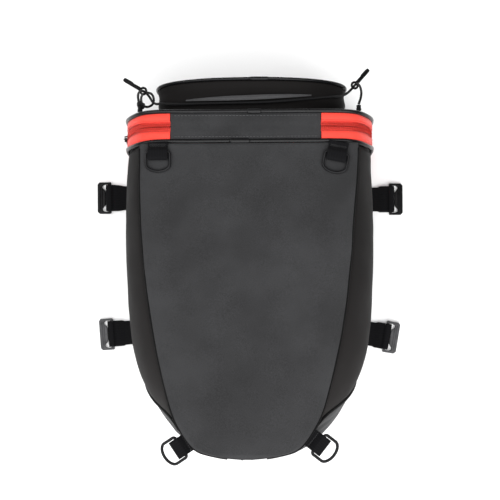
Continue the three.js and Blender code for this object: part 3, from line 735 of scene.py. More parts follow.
for name, side in SIDES:
    piece = padded_sheet(f"side_panel_leather_{name}", crescent(side), (120, 34), LEATHER_THICK, LEATHER,
                         "bag", roll=1.2)
    stands_for(piece, "side_panel_leather", f"side_panel_{name}")
    edge = [wall_point(on_side(side, u), outer_edge(u) + 0.003) for u in
            [i / 90 * POINT_U for i in range(91)]]
    edge += [wall_point(on_side(side, POINT_U + 0.0015 * k), 1.0) + Vector((-side * 1.2 * k, 0, 0.5))
             for k in (1, 2)]
    # The welt swells towards the crescent's point and is near black. It is a real welt, thickened into a dark
    # band of painted shade standing for the shadow gap between the side panel and the wall below it.
    welt_and_gap_shade = lambda f: 1.5 + 1.0 * smooth(f, 0.62, 0.8)
    welt = tube(f"side_panel_welt_{name}", edge, welt_and_gap_shade, BINDING, "bag")
    piece = padded_sheet(f"lower_wall_cloth_{name}", lower_side(side), (170, 44), CLOTH_THICK, CLOTH,
                         "bag", roll=0.8)
    stands_for(piece, "back_panel_fabric", f"lower_wall_{name}")


def end_surface(a, b):
    start = CORNER_U + 0.001
    point = wall_point(start + (1 - 2 * start) * a, -1 + 2 * b)
    full = math.sin(math.pi * a) ** 0.5 * math.sin(math.pi * b) ** 0.5
    point.y -= (0.8 + 0.8 * ripple(point, 40, 17.0)) * full
    return point


end = padded_sheet("bottom_end_cloth", end_surface, (60, 60), CLOTH_THICK, CLOTH, "bag", roll=0.8)
stands_for(end, "back_panel_fabric", "bottom_end_panel")


def front_surface(a, b):
    inset = FRONT_INSET + FRONT_THICK
    u = 0.5 * a * 0.9985
    point, tangent = WIDEST.at(u), WIDEST.tangent(u)
    right = Vector((max(0.0, point.x + tangent.y * inset), min(MOUTH_Y, point.y - tangent.x * inset), 0))
    left = Vector((-right.x, right.y, 0))
    point = left.lerp(right, bunched(b))
    edge = min((point - left).length, (right - point).length, MOUTH_Y - point.y, 20)
    quilt = 1.0 - math.exp(-((abs(point.x) - 62) / 2.2) ** 2) if point.y > -150 else 1.0
    point.z = 0.05 + 2.0 * (1 - smooth(edge, 0, 6)) + 0.9 * (1 - quilt)
    return point


front = padded_sheet("front_panel_leather", front_surface, (90, 80), FRONT_THICK, LEATHER, "bag", roll=0,
                     inward=lambda p: Vector((0, 0, 1)))
stands_for(front, "side_panel_leather", "front_panel")

# ---- lining ---------------------------------------------------------------------------
# The pouch's sections as (y, half width, half depth)
LINER_LINE = Line([
    (RIM_Y - 5, 148, 79), (40, 153, 79), (-60, 150, 79), (-140, 136, 79), (-195, 104, 78),
    (-236, 58, 72), (-247, 36, 56),
])
LINER_Z = 85
LINER_SKIN = 1.2


def liner_rings(inset):
    rings = []
    for y, half_x, half_z in LINER_LINE.spots(40):
        depth = y + (inset if y < -240 else 0)
        ring = []
        for i in range(96):
            angle = 2 * math.pi * (i + 0.5) / 96
            x = (half_x - inset) * bent(math.cos(angle), 0.5)
            z = LINER_Z + (half_z - inset) * bent(math.sin(angle), 0.5)
            creases = 1.6 * ripple((x, depth * 0.5, z), 34, 21.0) * smooth(RIM_Y - 5 - y, 0, 30)
            shrink = 1 - (1.6 + creases) / 150
            ring.append(Vector((x * shrink, depth, LINER_Z + (z - LINER_Z) * shrink)))
        rings.append(ring)
    return rings


liner = build("lining_pouch", *loft(liner_rings(0)[::-1] + liner_rings(LINER_SKIN)), LINING, "bag")
stands_for(liner, "lining_fabric", "inner_liner")


# ---- lid band ---------------------------------------------------------------------------
def band_outward(t):
    here, ahead = BAND_LINE.at(t % 1.0), BAND_LINE.at((t + 1e-3) % 1.0)
    tangent = (ahead - here).normalized()
    normal = Vector((-tangent.z, 0, tangent.x))
    return normal if normal.dot(here - Vector((0, 0, BAND_MIDDLE_Z))) > 0 else -normal


def rim_drop(t, depth):
    """How far a rim sags at the bag's four rounded corners."""
    point = BAND_LINE.at(t % 1.0)
    return depth * smooth(abs(point.x), 112, 156) * smooth(abs(point.z - BAND_MIDDLE_Z), 30, 62)


def band_sheet(name, low, high, out, thickness, columns, material, body, roll, puff=0.0, sag=(0.0, 0.0),
               tuck=0.0):
    """A strip round the band's three red sides, from y = low to high, as far out as asked."""
    def surface(a, b):
        t = ROUND[0] + (ROUND[1] - ROUND[0]) * a
        y = low + (high - low) * b - rim_drop(t, sag[0] * (1 - b) + sag[1] * b)
        point = band_point(t, y, out - tuck * (1 - b))
        ease = math.sin(math.pi * b) ** 0.6
        dents = 0.35 * ripple(point, 18, 31.0) + 0.25 * ripple(point, 7, 33.0)
        return point + band_outward(t) * (puff * ease + dents * ease)
    inward = lambda p: Vector((0, p.y, BAND_MIDDLE_Z)) - p
    return padded_sheet(name, surface, (420, columns), thickness, material, body, roll=roll, inward=inward)


ROUND_GAP = 0.6 / BAND_LINE.length
ROUND = (HINGE_MIDDLE + HINGE_T + ROUND_GAP, 1 + HINGE_MIDDLE - HINGE_T - ROUND_GAP)
ROUND_LENGTH = (ROUND[1] - ROUND[0]) * BAND_LINE.length
TAPE_HALF = 5.6
TOOTH_PITCH = 2.4
TOOTH = ((-1.5, -0.5), (-1.2, 0.15), (0, 0.3), (1.2, 0.15), (1.5, -0.5))
BODY_SAG = 2.4
LID_SAG = 1.2


def round_path(y):
    """A line round the band at one y, for stitches."""
    def path(s):
        if s is None:
            return ROUND_LENGTH
        t = ROUND[0] + s / BAND_LINE.length
        return band_point(t, y), band_outward(t)
    return path


halves = (
    ("body", "bag", RIM_Y + 1.6, ZIP_Y - TAPE_HALF, ZIP_Y - TAPE_HALF - 1.5, ZIP_Y - 0.5, -1),
    ("lid", "lid", ZIP_Y + TAPE_HALF, LID_Y - 1.6, ZIP_Y + 0.5, ZIP_Y + TAPE_HALF + 1.5, 1),
)
for name, body, low, high, tape_low, tape_high, way in halves:
    sag = (BODY_SAG, 0.0) if way < 0 else (0.0, LID_SAG)
    gusset = band_sheet(f"red_gusset_cloth_{name}", low, high, 0.3, 2.2, 10, RED, body, 0.7, 0.7, sag)
    stands_for(gusset, "red_gusset_fabric", f"red_gusset_{name}")
    tape = band_sheet(f"zipper_tape_{name}", tape_low, tape_high, -1.5, 1.1, 6, TAPE, body, 0.1)
    teeth = []
    count = int(ROUND_LENGTH / TOOTH_PITCH)
    for k in range(count):
        t = ROUND[0] + (ROUND[1] - ROUND[0]) * (k + 0.5 + 0.25 * way) / count
        centre, outward = band_point(t, ZIP_Y + way * 1.6), band_outward(t)
        teeth.append(tube_data([centre + Vector((0, d, 0)) + outward * h for d, h in TOOTH], 0.55, 5))
    coil = joined(f"zipper_teeth_{name}", teeth, TAPE, body)
    stands_for(coil, "zipper_red", f"zipper_coil_{name}")
    stitches(f"red_stitching_{name}", round_path(ZIP_Y + way * (TAPE_HALF + 1.3)), 0.75, RED_THREAD, body)
    stitches(f"tape_stitching_{name}", round_path(ZIP_Y + way * 3.6), -0.75, RED_THREAD, body,
             2.4, 3.4, 0.28)

# Inside the rim, a tape binds the walls' mouth to the red gusset.
rim_tape = band_sheet("body_rim_binding_tape", RIM_Y - 9, RIM_Y + 3.4, -0.8, 1.2, 8, BINDING, "bag",
                      0.2, sag=(BODY_SAG, 2.0), tuck=3.4)


def hinge_surface(a, b):
    t = HINGE_MIDDLE - HINGE_T + 2 * HINGE_T * a
    y = RIM_Y + 1.2 + (BAND - 2.4) * b
    point = band_point(t, y, 0.2)
    ease = math.sin(math.pi * b) ** 0.5
    fold = 0.8 * math.exp(-((y - ZIP_Y) / 5) ** 2)
    dents = 0.5 * ripple(point, 40, 41.0) + 0.3 * ripple(point, 14, 43.0)
    return point + Vector((0, 0, 1)) * (0.6 * ease + dents * ease - fold)


hinge = padded_sheet("hinge_cloth", hinge_surface, (120, 28), 2.2, CLOTH, None, roll=0.8,
                     inward=lambda p: Vector((0, 0, -1)))
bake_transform(hinge)
stands_for(hinge, "back_panel_fabric", "hinge_panel_body", "hinge_panel_lid")
for name, body, y in (("body", "bag", RIM_Y + 5.4), ("lid", "lid", LID_Y - 5.4)):
    def hinge_path(s, y=y):
        if s is None:
            return 2 * HINGE_HALF - 8
        t = HINGE_MIDDLE + (s - HINGE_HALF + 4) / BAND_LINE.length
        return band_point(t, y, 0.2), band_outward(t)
    stitches(f"hinge_stitching_{name}", hinge_path, 0.75, GREY_THREAD, body)


# ---- pipings ----------------------------------------------------------------------------
def piping(name, point_at, length, sleeve_middle, sleeve_length, radius, body):
    count = int(length / 3)
    ring = []
    for i in range(count):
        point = point_at(i / count)
        point.y += 0.35 * ripple(point, 45, 51.0)
        ring.append(point)
    cord = tube(f"{name}_vinyl", ring, radius, VINYL, body, 14, closed=True)
    stands_for(cord, "gloss_piping", name)
    steps = 18
    spots = [point_at(((sleeve_middle + sleeve_length * (k / steps - 0.5)) / length) % 1.0)
             for k in range(steps + 1)]
    swell = lambda f: radius + 0.15 + 0.5 * smooth(min(f, 1 - f), 0, 0.1)
    sleeve = tube(f"{name}_joint", spots, swell, VINYL, body, 16)
    stands_for(sleeve, "gloss_piping", f"{name}_sleeve")


PIPING_R = 2.5
POD_PIPING_R = 2.0
POD_LINE = Line([pod_point(i / 120, 0) for i in range(120)], closed=True, samples=4)
for name, rim_y, sag, sleeve, body in (
    ("body", RIM_Y, BODY_SAG, (-12, 26), "bag"), ("lid", LID_Y, LID_SAG, (6, 18), "lid"),
):
    rim_at = lambda f: band_point(f, rim_y - rim_drop(f, sag), 0.5)
    piping(f"{name}_rim_piping", rim_at, BAND_LINE.length, *sleeve, PIPING_R, body)
piping("pod_rim_piping", lambda f: pod_point(f, POD_RIM_Y, 0.9), POD_LINE.length, 6, 14, POD_PIPING_R, "lid")


# ---- lid top and pod --------------------------------------------------------------------
def domed_top(name, node, ring, edge, rings, wrinkle, settled):
    """A leather top of closed rings given as (y, out), wrinkled on the dome within its edge."""
    skin = [ring(*row) for row in edge]
    for k, row in enumerate(rings, 1):
        skin.append(ring(*row))
        for point in skin[-1]:
            point.y += wrinkle[0] * ripple(point, *wrinkle[1:]) * smooth(k, 0, settled)
    stands_for(build(name, *loft(skin), LEATHER, "lid"), "side_panel_leather", node)


domed_top(
    "lid_top_leather", "lid_top_panel", lambda y, out: [band_point(i / 220, y, out) for i in range(220)],
    ((LID_Y - 1.4, -6), (LID_Y - 1.4, -2.4), (LID_Y + 1.6, -1.8)),
    [(LID_Y + (1.6 + 6.2 * math.sin(math.pi / 2 * min(1, k / 9))), -1.8 - 52 * (k / 14) ** 1.2)
     for k in range(1, 15)], (0.5, 40, 61.0), 5)

# The pod's wall as [y, how far outside the rim's outline]: pinched where the cord passes.
POD_PROFILE = Line([
    (POD_BASE_Y, -10, 0), (POD_BASE_Y + 0.6, -6.5, 0), (185.5, -5.6, 0), (189, -4.6, 0), (192.5, -2.6, 0),
    (196, -0.6, 0), (200, 0.4, 0), (206, -0.4, 0), (211, -0.9, 0), (POD_RIM_Y - 2.2, 0.1, 0),
    (POD_RIM_Y - 1.6, -1.2, 0), (POD_RIM_Y - 2.2, -4, 0), (204, -6.5, 0), (POD_BASE_Y + 5, -10.5, 0),
])


def pod_wall_rings():
    rings = []
    for y, grow, _ in POD_PROFILE.spots(56):
        ring = []
        for i in range(220):
            point = pod_point(i / 220, y, grow)
            dents = (0.8 * ripple(point, 42, 71.0) + 0.5 * ripple(point, 17, 73.0)) * smooth(y, 184, 196)
            shape = 1 + dents * (1 - smooth(y, POD_RIM_Y - 8, POD_RIM_Y - 2)) / 100
            ring.append(Vector((point.x * shape, y, POD_Z + (point.z - POD_Z) * shape)))
        rings.append(ring)
    return rings


pod = build("pod_wall_leather", *loft(pod_wall_rings()), LEATHER, "lid")
stands_for(pod, "side_panel_leather", "pod_wall")


domed_top(
    "pod_top_leather", "pod_top_panel", lambda y, grow: [pod_point(i / 180, y, grow) for i in range(180)],
    ((POD_RIM_Y - 2, -8), (POD_RIM_Y - 2, -4.5), (POD_RIM_Y + 0.6, -1.6)),
    [(POD_RIM_Y + 1.0 + 4.2 * math.sin(math.pi / 2 * k / 12), -2.2 - 44 * k / 12) for k in range(1, 13)],
    (0.6, 38, 81.0), 4)


# ---- grab handle ------------------------------------------------------------------------
def pod_z(x):
    """How high the pod's wall stands at x."""
    return POD_Z + POD_HALF_Z * max(0.0, 1 - abs(x / POD_HALF_X) ** POD_POWER) ** (1 / POD_POWER)


def handle_surface(a, b):
    x = -82 + 162 * a
    arch = math.sin(math.pi * a) ** 0.8
    width = 2.4 + 4.2 * arch
    y = 196.4 + 5.6 * (a - 0.5) + 2.8 * (1 - arch) + width * (b - 0.5)
    crown = 0.5 * math.sin(math.pi * b)
    return Vector((x, y, pod_z(x) + 3.5 + 3 * arch + crown))


handle = padded_sheet("grab_handle_strap", handle_surface, (110, 14), 2.6, HANDLE, "lid", roll=0.7,
                      inward=lambda p: Vector((0, 0, -1)))
stands_for(handle, "handle_fabric", "grab_handle")

# ---- elastic cord, crimps and hooks -------------------------------------------------------
CORD_ROUTE = [
    (-139.5, 188.4, 147), (-142, 196, 142), (-144, 205, 130), (-144.5, 213, 115),
    (-143.5, 218.5, 102), (-141, 220, 95.5), (-137, 217.5, 92.5), (-132.5, 211.5, 95),
    (-128.5, 204.5, 101), (-123, 199.5, 109), (-114.5, 196.8, 121), (-102, 194.2, 129.5),
    (-86, 192.2, 136.8), (-66, 191.2, 142.9), (-44, 190.7, 146.6), (-20, 190.6, 148.5),
    (5, 190.8, 148.9), (30, 191.8, 148.1), (52, 194, 145.6), (72, 196.6, 141.4),
    (90, 199.6, 135.2), (105, 203, 127.4), (117, 206.5, 116.5), (124.5, 210.5, 106.5),
    (130.5, 216, 99), (135.5, 221.5, 95.5), (139, 225.5, 97), (141.5, 225.5, 104),
    (143.2, 220.5, 116), (144, 212.5, 129), (143.6, 203.5, 140), (142, 195.5, 146),
    (139.5, 188.4, 147),
]
CORD_R = 1.6
cord_line = Line(CORD_ROUTE)
cord_path = cord_line.spots(230)
# At its left end the cord is doubled back from the hook's eye and knotted beside the crimp.
doubled = Line([
    (-138.2, 217.6, 96), (-139.6, 213.5, 106), (-140.4, 207, 120), (-139.6, 199, 133), (-137.6, 191.5, 142),
])
loop_line = Line([
    (-138.6, 218, 97), (-133.5, 214.5, 108), (-127.5, 210, 118), (-124.6, 203.5, 123), (-124.4, 197, 127),
    (-126.6, 191.5, 133), (-131.5, 188, 140), (-135.5, 188.5, 144.5), (-138.4, 191, 146),
])
KNOT_TURNS = 2.3
knot_turns = []
for i in range(61):
    along = i / 60
    angle = 2 * math.pi * KNOT_TURNS * along
    knot_turns.append(Vector((
        -141.2 + 5.2 * along + 2.5 * math.cos(angle), 190.6 - 3.4 * along + 2.9 * math.sin(angle),
        144.6 + 1.2 * along + 2.4 * math.sin(angle + 0.9),
    )))
strands = [tube_data(line.spots(60), CORD_R * 0.95, 10) for line in (doubled, loop_line)]
knot = joined("elastic_cord_knot", strands + [tube_data(knot_turns, CORD_R * 0.9, 10)], BRAID, "lid")
cord = tube("elastic_cord_braid", cord_path, CORD_R, BRAID, "lid", 12)
stands_for(cord, "elastic_cord", "bungee_cord")


def oriented(parts, origin, x_axis, y_axis):
    """Local millimetre parts turned so their X and Y lie along the given axes at origin."""
    z_axis = x_axis.cross(y_axis)
    turn = lambda p: origin + x_axis * p.x + y_axis * p.y + z_axis * p.z
    return [([turn(p) for p in points], faces, uvs) for points, faces, uvs in parts]


def torus_data(radius, thickness):
    angles = [2 * math.pi * i / 36 for i in range(36)]
    ring = [Vector((radius * math.cos(a), radius * math.sin(a), 0)) for a in angles]
    return tube_data(ring, thickness, 10, closed=True)


def flat_bar(path, wide, thick):
    """A bar of oval section along a path in the YZ plane, its long side across the plane."""
    rings = []
    last = len(path) - 1
    angles = [2 * math.pi * k / 20 for k in range(20)]
    for i, point in enumerate(path):
        ahead = (path[min(i + 1, last)] - path[max(i - 1, 0)]).normalized()
        normal = Vector((0, -ahead.z, ahead.y))
        taper = 1 - 0.35 * smooth(i / last, 0.94, 1)
        rings.append([
            point + Vector((wide / 2 * taper * math.cos(a), 0, 0))
            + normal * (thick / 2 * taper * math.sin(a)) for a in angles
        ])
    return loft(rings)


EYE_R = 4.1
EYE_ROD = 1.55
HOOK_WIDE = 5.0
HOOK_THICK = 2.8


def hook_parts():
    """A moulded hook: round eye, collar, flat shank and a bend that leans along the eye's axis."""
    bend = Line([
        (0, -3.6, 0), (0, -10, 0), (0, -20, 0.2), (0, -26, 0.6), (0, -30.6, 2.8), (0, -31.4, 6.4),
        (0, -28.6, 9.2), (0, -24, 9.6), (0, -19, 8.6),
    ])
    shank = bend.spots(70)
    collar = [Vector((0, -4.6 - k * 0.6, 0)) for k in range(6)]
    ribbed = lambda f: 2.1 + 0.25 * math.cos(4 * math.pi * f)
    eye = torus_data(EYE_R, EYE_ROD)
    return [eye, flat_bar(shank, HOOK_WIDE, HOOK_THICK), tube_data(collar, ribbed, 14)]


for name, at, way, lean_way in (
    ("left", 5, Vector((-0.85, 0.52, -0.08)), 1), ("right", 26, Vector((0.64, 0.74, -0.2)), -1),
):
    hole = (Vector(CORD_ROUTE[at + 1]) - Vector(CORD_ROUTE[at - 1])).normalized() * lean_way
    up = -way.normalized()
    hole = (hole - up * hole.dot(up)).normalized()
    parts = oriented(hook_parts(), Vector(CORD_ROUTE[at]), up.cross(hole), up)
    hook = joined(f"cord_hook_moulding_{name}", parts, PLASTIC, "lid")
    stands_for(hook, "black_plastic", f"cord_hook_{name}")
[place(*p) for p in cord_path]

for name, side in SIDES:
    low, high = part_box(f"cord_anchor_{name}")
    x, z = (low[0] + high[0]) / 2 - SHIFT.x, (low[2] + high[2]) / 2
    foot, top = low[1] - SHIFT.y, high[1] - SHIFT.y
    spots = [Vector((x / MM, (foot + (top - foot) * k / 24) / MM, z / MM)) for k in range(25)]
    crimp = lambda f: 3.3 - 0.5 * f - 0.35 * math.exp(-((f - 0.55) / 0.07) ** 2) - 0.9 * smooth(f, 0.93, 1)
    ferrule = tube(f"cord_crimp_{name}", spots, crimp, PLASTIC, "lid", 20)
    stands_for(ferrule, "black_plastic", f"cord_anchor_{name}")


# ---- webbing loops, rings and buckles -----------------------------------------------------
UP = Vector((0, 0, 1))


def strap_frame(x, y, z, heading, tilt=0.0):
    """Origin, bar axis and tail axis of a strap fitting, turned about Z and tipped about its bar."""
    turn, tip = math.radians(heading), math.radians(tilt)
    bar = Vector((math.cos(turn), math.sin(turn), 0))
    tail = Vector((-math.sin(turn), math.cos(turn), 0))
    return Vector((x, y, z)), bar, tail * math.cos(tip) + UP * math.sin(tip)


LOOP_R = 4.1
LAYER = 1.6
TOP_STRAP = 25
SIDE_STRAP = 34
SIDE_LOOP = 36.6
RING_SLACK = 6.8
SIDE_SLACK = 1.9


def strap_loop(node, width, tail, frame_of, slack=0.0, rise=0.0, wander=0.0, loop_width=0.0):
    """Webbing folded round a bar on local X, its two layers sewn together along +Y."""
    loop_width = loop_width or width
    middle = LOOP_R - LAYER / 2
    path = [Vector((0, tail - tail * k / 14, -middle)) for k in range(14)]
    path += [Vector((0, -slack - middle * math.sin(a), -middle * math.cos(a))) for a in
             [math.pi * k / 16 for k in range(17)]]
    path += [Vector((0, -middle * math.sin(a), -middle * math.cos(a))) for a in
             [math.pi * (1 + 0.28 * k / 5) for k in range(1 if slack else 2, 6)]]
    last = path[-1]
    meet = -middle + LAYER * 0.98
    for k in range(1, 13):
        f = k / 12
        y = last.y + (tail - last.y) * f
        z = last.z + (meet - last.z) * smooth(f, 0, 0.42)
        path.append(Vector((0, y, z)))
    rows = []
    for p in path:
        row = []
        for j in range(25):
            across = j / 24 - 0.5
            shift = 0.35 * ripple((p.y, across * 3, p.z), 9, 91.0 + wander)
            lift = rise * smooth(p.y, 5, tail)
            wide = width + (loop_width - width) * (1 - smooth(p.y, 14.6, 15.4)) - 0.4
            row.append(Vector((across * wide, p.y, p.z + lift + 0.12 * shift)))
        rows.append(row)
    count, row_size = len(rows), 25
    skins = []
    for side in (-1, 1):
        for i in range(count):
            step = (rows[min(i + 1, count - 1)][12] - rows[max(i - 1, 0)][12]).normalized()
            normal = Vector((0, step.z, -step.y))
            for j in range(row_size):
                rim = min(j, row_size - 1 - j)
                half = LAYER / 2 * (0.55 if rim == 0 else 0.92 if rim == 1 else 1.0)
                skins.append(rows[i][j] + normal * half * side * 0.97)
    along = [0.0]
    for a, b in zip(rows, rows[1:]):
        along.append(along[-1] + (b[12] - a[12]).length)
    uvs = [((j / 24 - 0.5) * width * MM, along[i] * MM) for i in range(count) for j in range(row_size)]
    origin, bar, tail_axis = frame_of
    faces = slab_faces(count, row_size)
    part, = oriented([(skins, faces, uvs + uvs)], origin, bar, tail_axis)
    piece = build(f"{node}_webbing", *part, WEBBING, "bag")
    stands_for(piece, "black_webbing", node)
    normal_axis = bar.cross(tail_axis)

    def bar_tack(y):
        def path_of(s):
            if s is None:
                return width - 4
            local = s - (width - 4) / 2
            zigzag = 0.9 * math.sin(s * 2.1)
            z = meet + LAYER / 2 + rise * smooth(y, 5, tail)
            return origin + bar * local + tail_axis * (y + zigzag) + normal_axis * z, normal_axis
        return path_of
    for k, y in enumerate((7.0, 9.0)):
        stitches(f"{node}_bar_tack_{k}", bar_tack(y), 0.05, BLACK_THREAD, "bag",
                 2.4, 2.6, 0.3)


def outline_solid(outer, hole, thickness, bevel):
    """A flat frame with a hole, both edges rounded: outer and hole are equal-length (x, y) rings."""
    def offset(ring, amount):
        count = len(ring)
        out = []
        for i, (x, y) in enumerate(ring):
            ax, ay = ring[i - 1]
            bx, by = ring[(i + 1) % count]
            tangent = Vector((bx - ax, by - ay, 0))
            tangent = tangent.normalized() if tangent.length > 1e-9 else Vector((1, 0, 0))
            out.append((x - tangent.y * amount, y + tangent.x * amount))
        return out
    profile = []
    for angle in [math.pi / 2 * k / 3 for k in range(4)]:
        profile.append((bevel * (1 - math.sin(angle)), thickness / 2 - bevel + bevel * math.cos(angle)))
    loops = profile + [(inset, -z) for inset, z in profile[::-1]]
    rings = [[Vector((x, y, z)) for x, y in offset(outer, inset)] for inset, z in loops]
    rings += [[Vector((x, y, z)) for x, y in offset(hole, -inset)] for inset, z in loops[::-1]]
    points = [p for ring in rings for p in ring]
    return points, ring_faces(len(rings), len(outer), closed=True), [(p.x * MM, p.y * MM) for p in points]


BAR = 3.4
RING_INSIDE = 26.6
RING_DEPTH = 26
RING_STRAIGHT = 15.5
RING_CORNER = 3.4
BUCKLE_HALF = 19.1
BUCKLE_RAIL = 3.1
BUCKLE_SLOT = 7.5
BUCKLE_WIDE = 8.6
GRIP_RIBS = (-11.4, -14.2)


def d_outline(half, top, bow_depth, straight, corner, count):
    """A D's outline run clockwise from its top right: flat bar, short sides, elliptical bow."""
    turned = lambda side, angle: Vector((
        side * (half - corner + corner * math.sin(angle)), top - corner + corner * math.cos(angle), 0))
    spots = [Vector((half - corner, top, 0)), Vector((-half + corner, top, 0))]
    spots += [turned(-1, math.pi / 2 * k / 6) for k in range(1, 7)]
    for angle in [math.pi * k / 48 for k in range(49)]:
        spots.append(Vector((-half * math.cos(angle), -straight - bow_depth * math.sin(angle), 0)))
    spots += [turned(1, math.pi / 2 * (1 - k / 6)) for k in range(6)]
    line = Line(spots, closed=True, samples=1)
    return line.spots(count)[:-1]


def d_ring(name, frame_of, rod=BAR / 2):
    """A D-ring bent from round rod, its straight bar on local X."""
    bow_depth = RING_DEPTH - RING_STRAIGHT - BAR / 2
    centre = d_outline((RING_INSIDE + BAR) / 2, 0.0, bow_depth, RING_STRAIGHT, RING_CORNER, 120)
    part, = oriented([tube_data(centre, rod, 16, closed=True)], *frame_of)
    piece = build(f"{name}_bent_rod", *part, COATING, name)
    stands_for(piece, "ring_metal", name)


def divided(corners, count=144):
    line = Line([(x, y, 0) for x, y in corners], closed=True, samples=1)
    return [(p.x, p.y) for p in line.spots(count)[:-1]]


def ladder_lock(name, frame_of, material):
    """A ladder-lock buckle: sewn bar, strap slot and a wide bar with two grip ribs."""
    half, bar = BUCKLE_HALF, BAR / 2
    outer, reach = half + BUCKLE_RAIL, bar + BUCKLE_SLOT + BUCKLE_WIDE
    corners_out = [(outer - 1, bar), (1 - outer, bar), (-outer, bar - 1), (-outer, 3 - reach),
                   (3 - outer, -reach), (outer - 3, -reach), (outer, 3 - reach), (outer, bar - 1)]
    slot = [(half - 1, 0), (half, -1), (half, -5.5), (half - 2, -9.0), (half - 4.6, -9.0),
            (half - 9.4, -4.7)]
    corners_in = [(-x, y - bar) for x, y in slot]
    corners_in = [(half - 1, -bar)] + corners_in + [(x, y - bar) for x, y in slot[:0:-1]]
    parts = [outline_solid(divided(corners_out), divided(corners_in), BAR, 0.9)]
    rib_end = lambda f: 0.95 * min(1.0, 0.3 + 12 * min(f, 1 - f))
    for y in GRIP_RIBS:
        spots = [Vector((-17.1 + 34.2 * k / 20, y, bar + 0.15)) for k in range(21)]
        parts.append(tube_data(spots, rib_end, 12))
    piece = joined(f"{name}_moulding", oriented(parts, *frame_of), material, name)
    stands_for(piece, "black_plastic", name)


TOP_RING_Z = PANEL_TOP + LOOP_R + 0.3
BOTTOM_RING_Z = 163.6
SIDE_BUCKLE_Z = LOOP_R + 0.3
# each fitting: name, place of its bar, heading in degrees, length of its sewn tail
for name, x, y, heading, tail in (("right", 109.5, 120.3, -11, 14.4), ("left", -114.3, 123.1, 0, 11.8)):
    at = (x, y, TOP_RING_Z, heading)
    strap_loop(f"top_strap_loop_{name}", TOP_STRAP, tail, strap_frame(*at), slack=RING_SLACK)
    d_ring(f"top_d_ring_{name}", strap_frame(*at, 5))
for name, x, y, heading in (("right", 84.8, -243.3, 52), ("left", -88.6, -246.1, -57)):
    at = strap_frame(x, y, BOTTOM_RING_Z, heading)
    strap_loop(f"bottom_strap_loop_{name}", TOP_STRAP, 17, at, slack=RING_SLACK, rise=5)
    d_ring(f"bottom_d_ring_{name}", at, 2.0)
# the two lower buckles take the plastic painted paler as painted reflection
for name, x, y, heading, tail, material in (
    ("upper_right", 196.4, 88.9, 90, 49.4, PLASTIC), ("upper_left", -199.1, 92.9, -90, 52.1, PLASTIC),
    ("lower_right", 189, -105, 80, 46, REFLECTION_GREY_PLASTIC), ("lower_left", -197.1, -99, -86, 51, REFLECTION_GREY_PLASTIC),
):
    at = (x, y, SIDE_BUCKLE_Z, heading)
    strap_loop(f"side_strap_{name}", SIDE_STRAP, tail, strap_frame(*at), SIDE_SLACK, loop_width=SIDE_LOOP)
    ladder_lock(f"side_buckle_{name}", strap_frame(*at, 4.5), material)

# ---- zipper sliders and pulls -------------------------------------------------------------
SLIDER_OUT_X = -BAND_X - 0.55
SLIDER_IN_X = -BAND_X + 2.15
PULL_X = SLIDER_OUT_X - 5.6 + 0.65


def rounded_box(low, high, bevel):
    """A box with its edges taken off, as points, faces and uvs."""
    mesh = bpy.data.meshes.new("box")
    bm = bmesh.new()
    bmesh.ops.create_cube(bm, size=1.0)
    for vert in bm.verts:
        vert.co = Vector([low[i] if vert.co[i] < 0 else high[i] for i in range(3)])
    bmesh.ops.bevel(bm, geom=bm.edges[:], offset=bevel, segments=3, affect="EDGES", profile=0.5)
    bm.to_mesh(mesh)
    bm.free()
    points = [v.co.copy() for v in mesh.vertices]
    faces = [tuple(p.vertices) for p in mesh.polygons]
    bpy.data.meshes.remove(mesh)
    return points, faces, [(p.x * MM, p.y * MM) for p in points]


def slider_parts(z):
    box = lambda x0, x1, wide, tall, y=0.0, up=0.0, bevel=0.5: rounded_box(
        (x0, ZIP_Y + y - wide / 2, z + up - tall / 2), (x1, ZIP_Y + y + wide / 2, z + up + tall / 2), bevel)
    parts = [
        box(SLIDER_OUT_X - 1.8, SLIDER_OUT_X, 9, 11, bevel=0.8),
        box(SLIDER_OUT_X - 0.5, SLIDER_IN_X + 0.5, 1.0, 5, bevel=0.2),
        box(SLIDER_IN_X, SLIDER_IN_X + 1.4, 8, 11, bevel=0.5),
    ]
    for side in (-1, 1):
        parts.append(box(SLIDER_OUT_X - 5.6, SLIDER_OUT_X - 0.5, 1.2, 2.6, side * 3.2, 1.0, 0.4))
    spots = [Vector((PULL_X, ZIP_Y - 3.4 + 6.8 * k / 10, z + 1)) for k in range(11)]
    parts.append(tube_data(spots, 0.66, 14))
    return parts


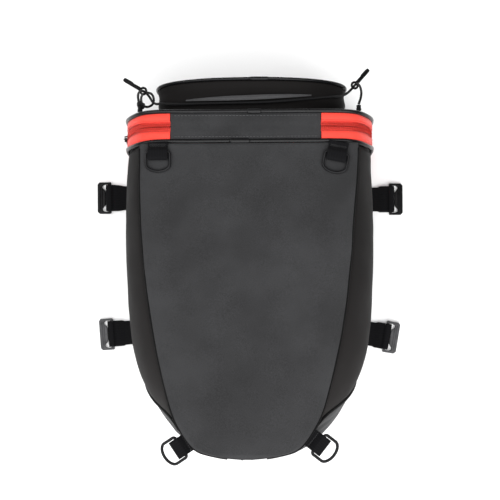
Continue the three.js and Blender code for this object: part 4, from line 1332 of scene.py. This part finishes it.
def pull_parts(z):
    origin = Vector((PULL_X, ZIP_Y, z + 1))
    ring = [Vector((0, 1.7 * math.sin(a), 1.7 * math.cos(a))) for a in
            [2 * math.pi * k / 24 for k in range(24)]]
    parts = [tube_data(ring, 0.42, 8, closed=True)]
    outline = [(-2.1, 2.2), (2.1, 2.2), (2.1, 6), (3.6, 12), (3.6, 21.5), (2.2, 24), (-2.2, 24),
               (-3.6, 21.5), (-3.6, 12), (-2.1, 6)]
    path = Line([(x, y, 0) for x, y in outline], closed=True, samples=8)
    rings = []
    for inset, height in ((1.2, -2.0), (0.35, -1.95), (0, -1.6), (0, -0.85), (0.35, -0.45), (1.2, -0.35)):
        ring = []
        for p in path.spots(64)[:-1]:
            shrink = 1 - inset / 4
            grooves = 0.22 * math.sin(p.y * 1.9) * smooth(p.y, 12, 13) * (1 - smooth(p.y, 20, 21))
            up = height + (grooves if height > -1 else 0)
            ring.append(Vector((p.x * shrink, 13.1 + (p.y - 13.1) * (1 - inset / 12), up)))
        rings.append(ring)
    parts.append(loft(rings))
    return oriented(parts, origin, Vector((0, 1, 0)), Vector((0, 0, -1)))


for name, z in (("upper", 99), ("lower", 66)):
    body = f"zipper_slider_{name}"
    slider = joined(f"{body}_casting", slider_parts(z), COATING, body)
    stands_for(slider, "slider_metal", body)
    pull = joined(f"zipper_pull_{name}_tab", pull_parts(z), RUBBER, f"zipper_pull_{name}")
    stands_for(pull, "pull_rubber", f"zipper_pull_{name}")

# ---- floor --------------------------------------------------------------------------------
FLOOR_HALF = 3.0
FLOOR_STEPS = 24
FLOOR_LEVEL = -0.0002


def floor():
    material = finish("studio_floor", (0.86, 0.86, 0.86), 0.9, ((3, 2), 0.99, 1.01), [])
    marks = [(k / FLOOR_STEPS - 0.5) * 2 * FLOOR_HALF for k in range(FLOOR_STEPS + 1)]
    row = FLOOR_STEPS + 1
    faces = [(p, p + row, p + row + 1, p + 1) for p in
             [i * row + j for i in range(FLOOR_STEPS) for j in range(FLOOR_STEPS)]]
    mesh = bpy.data.meshes.new("floor")
    mesh.from_pydata([(x, y, FLOOR_LEVEL) for x in marks for y in marks], [], faces)
    mesh.materials.append(material)
    add_object("studio_floor", mesh)


floor()
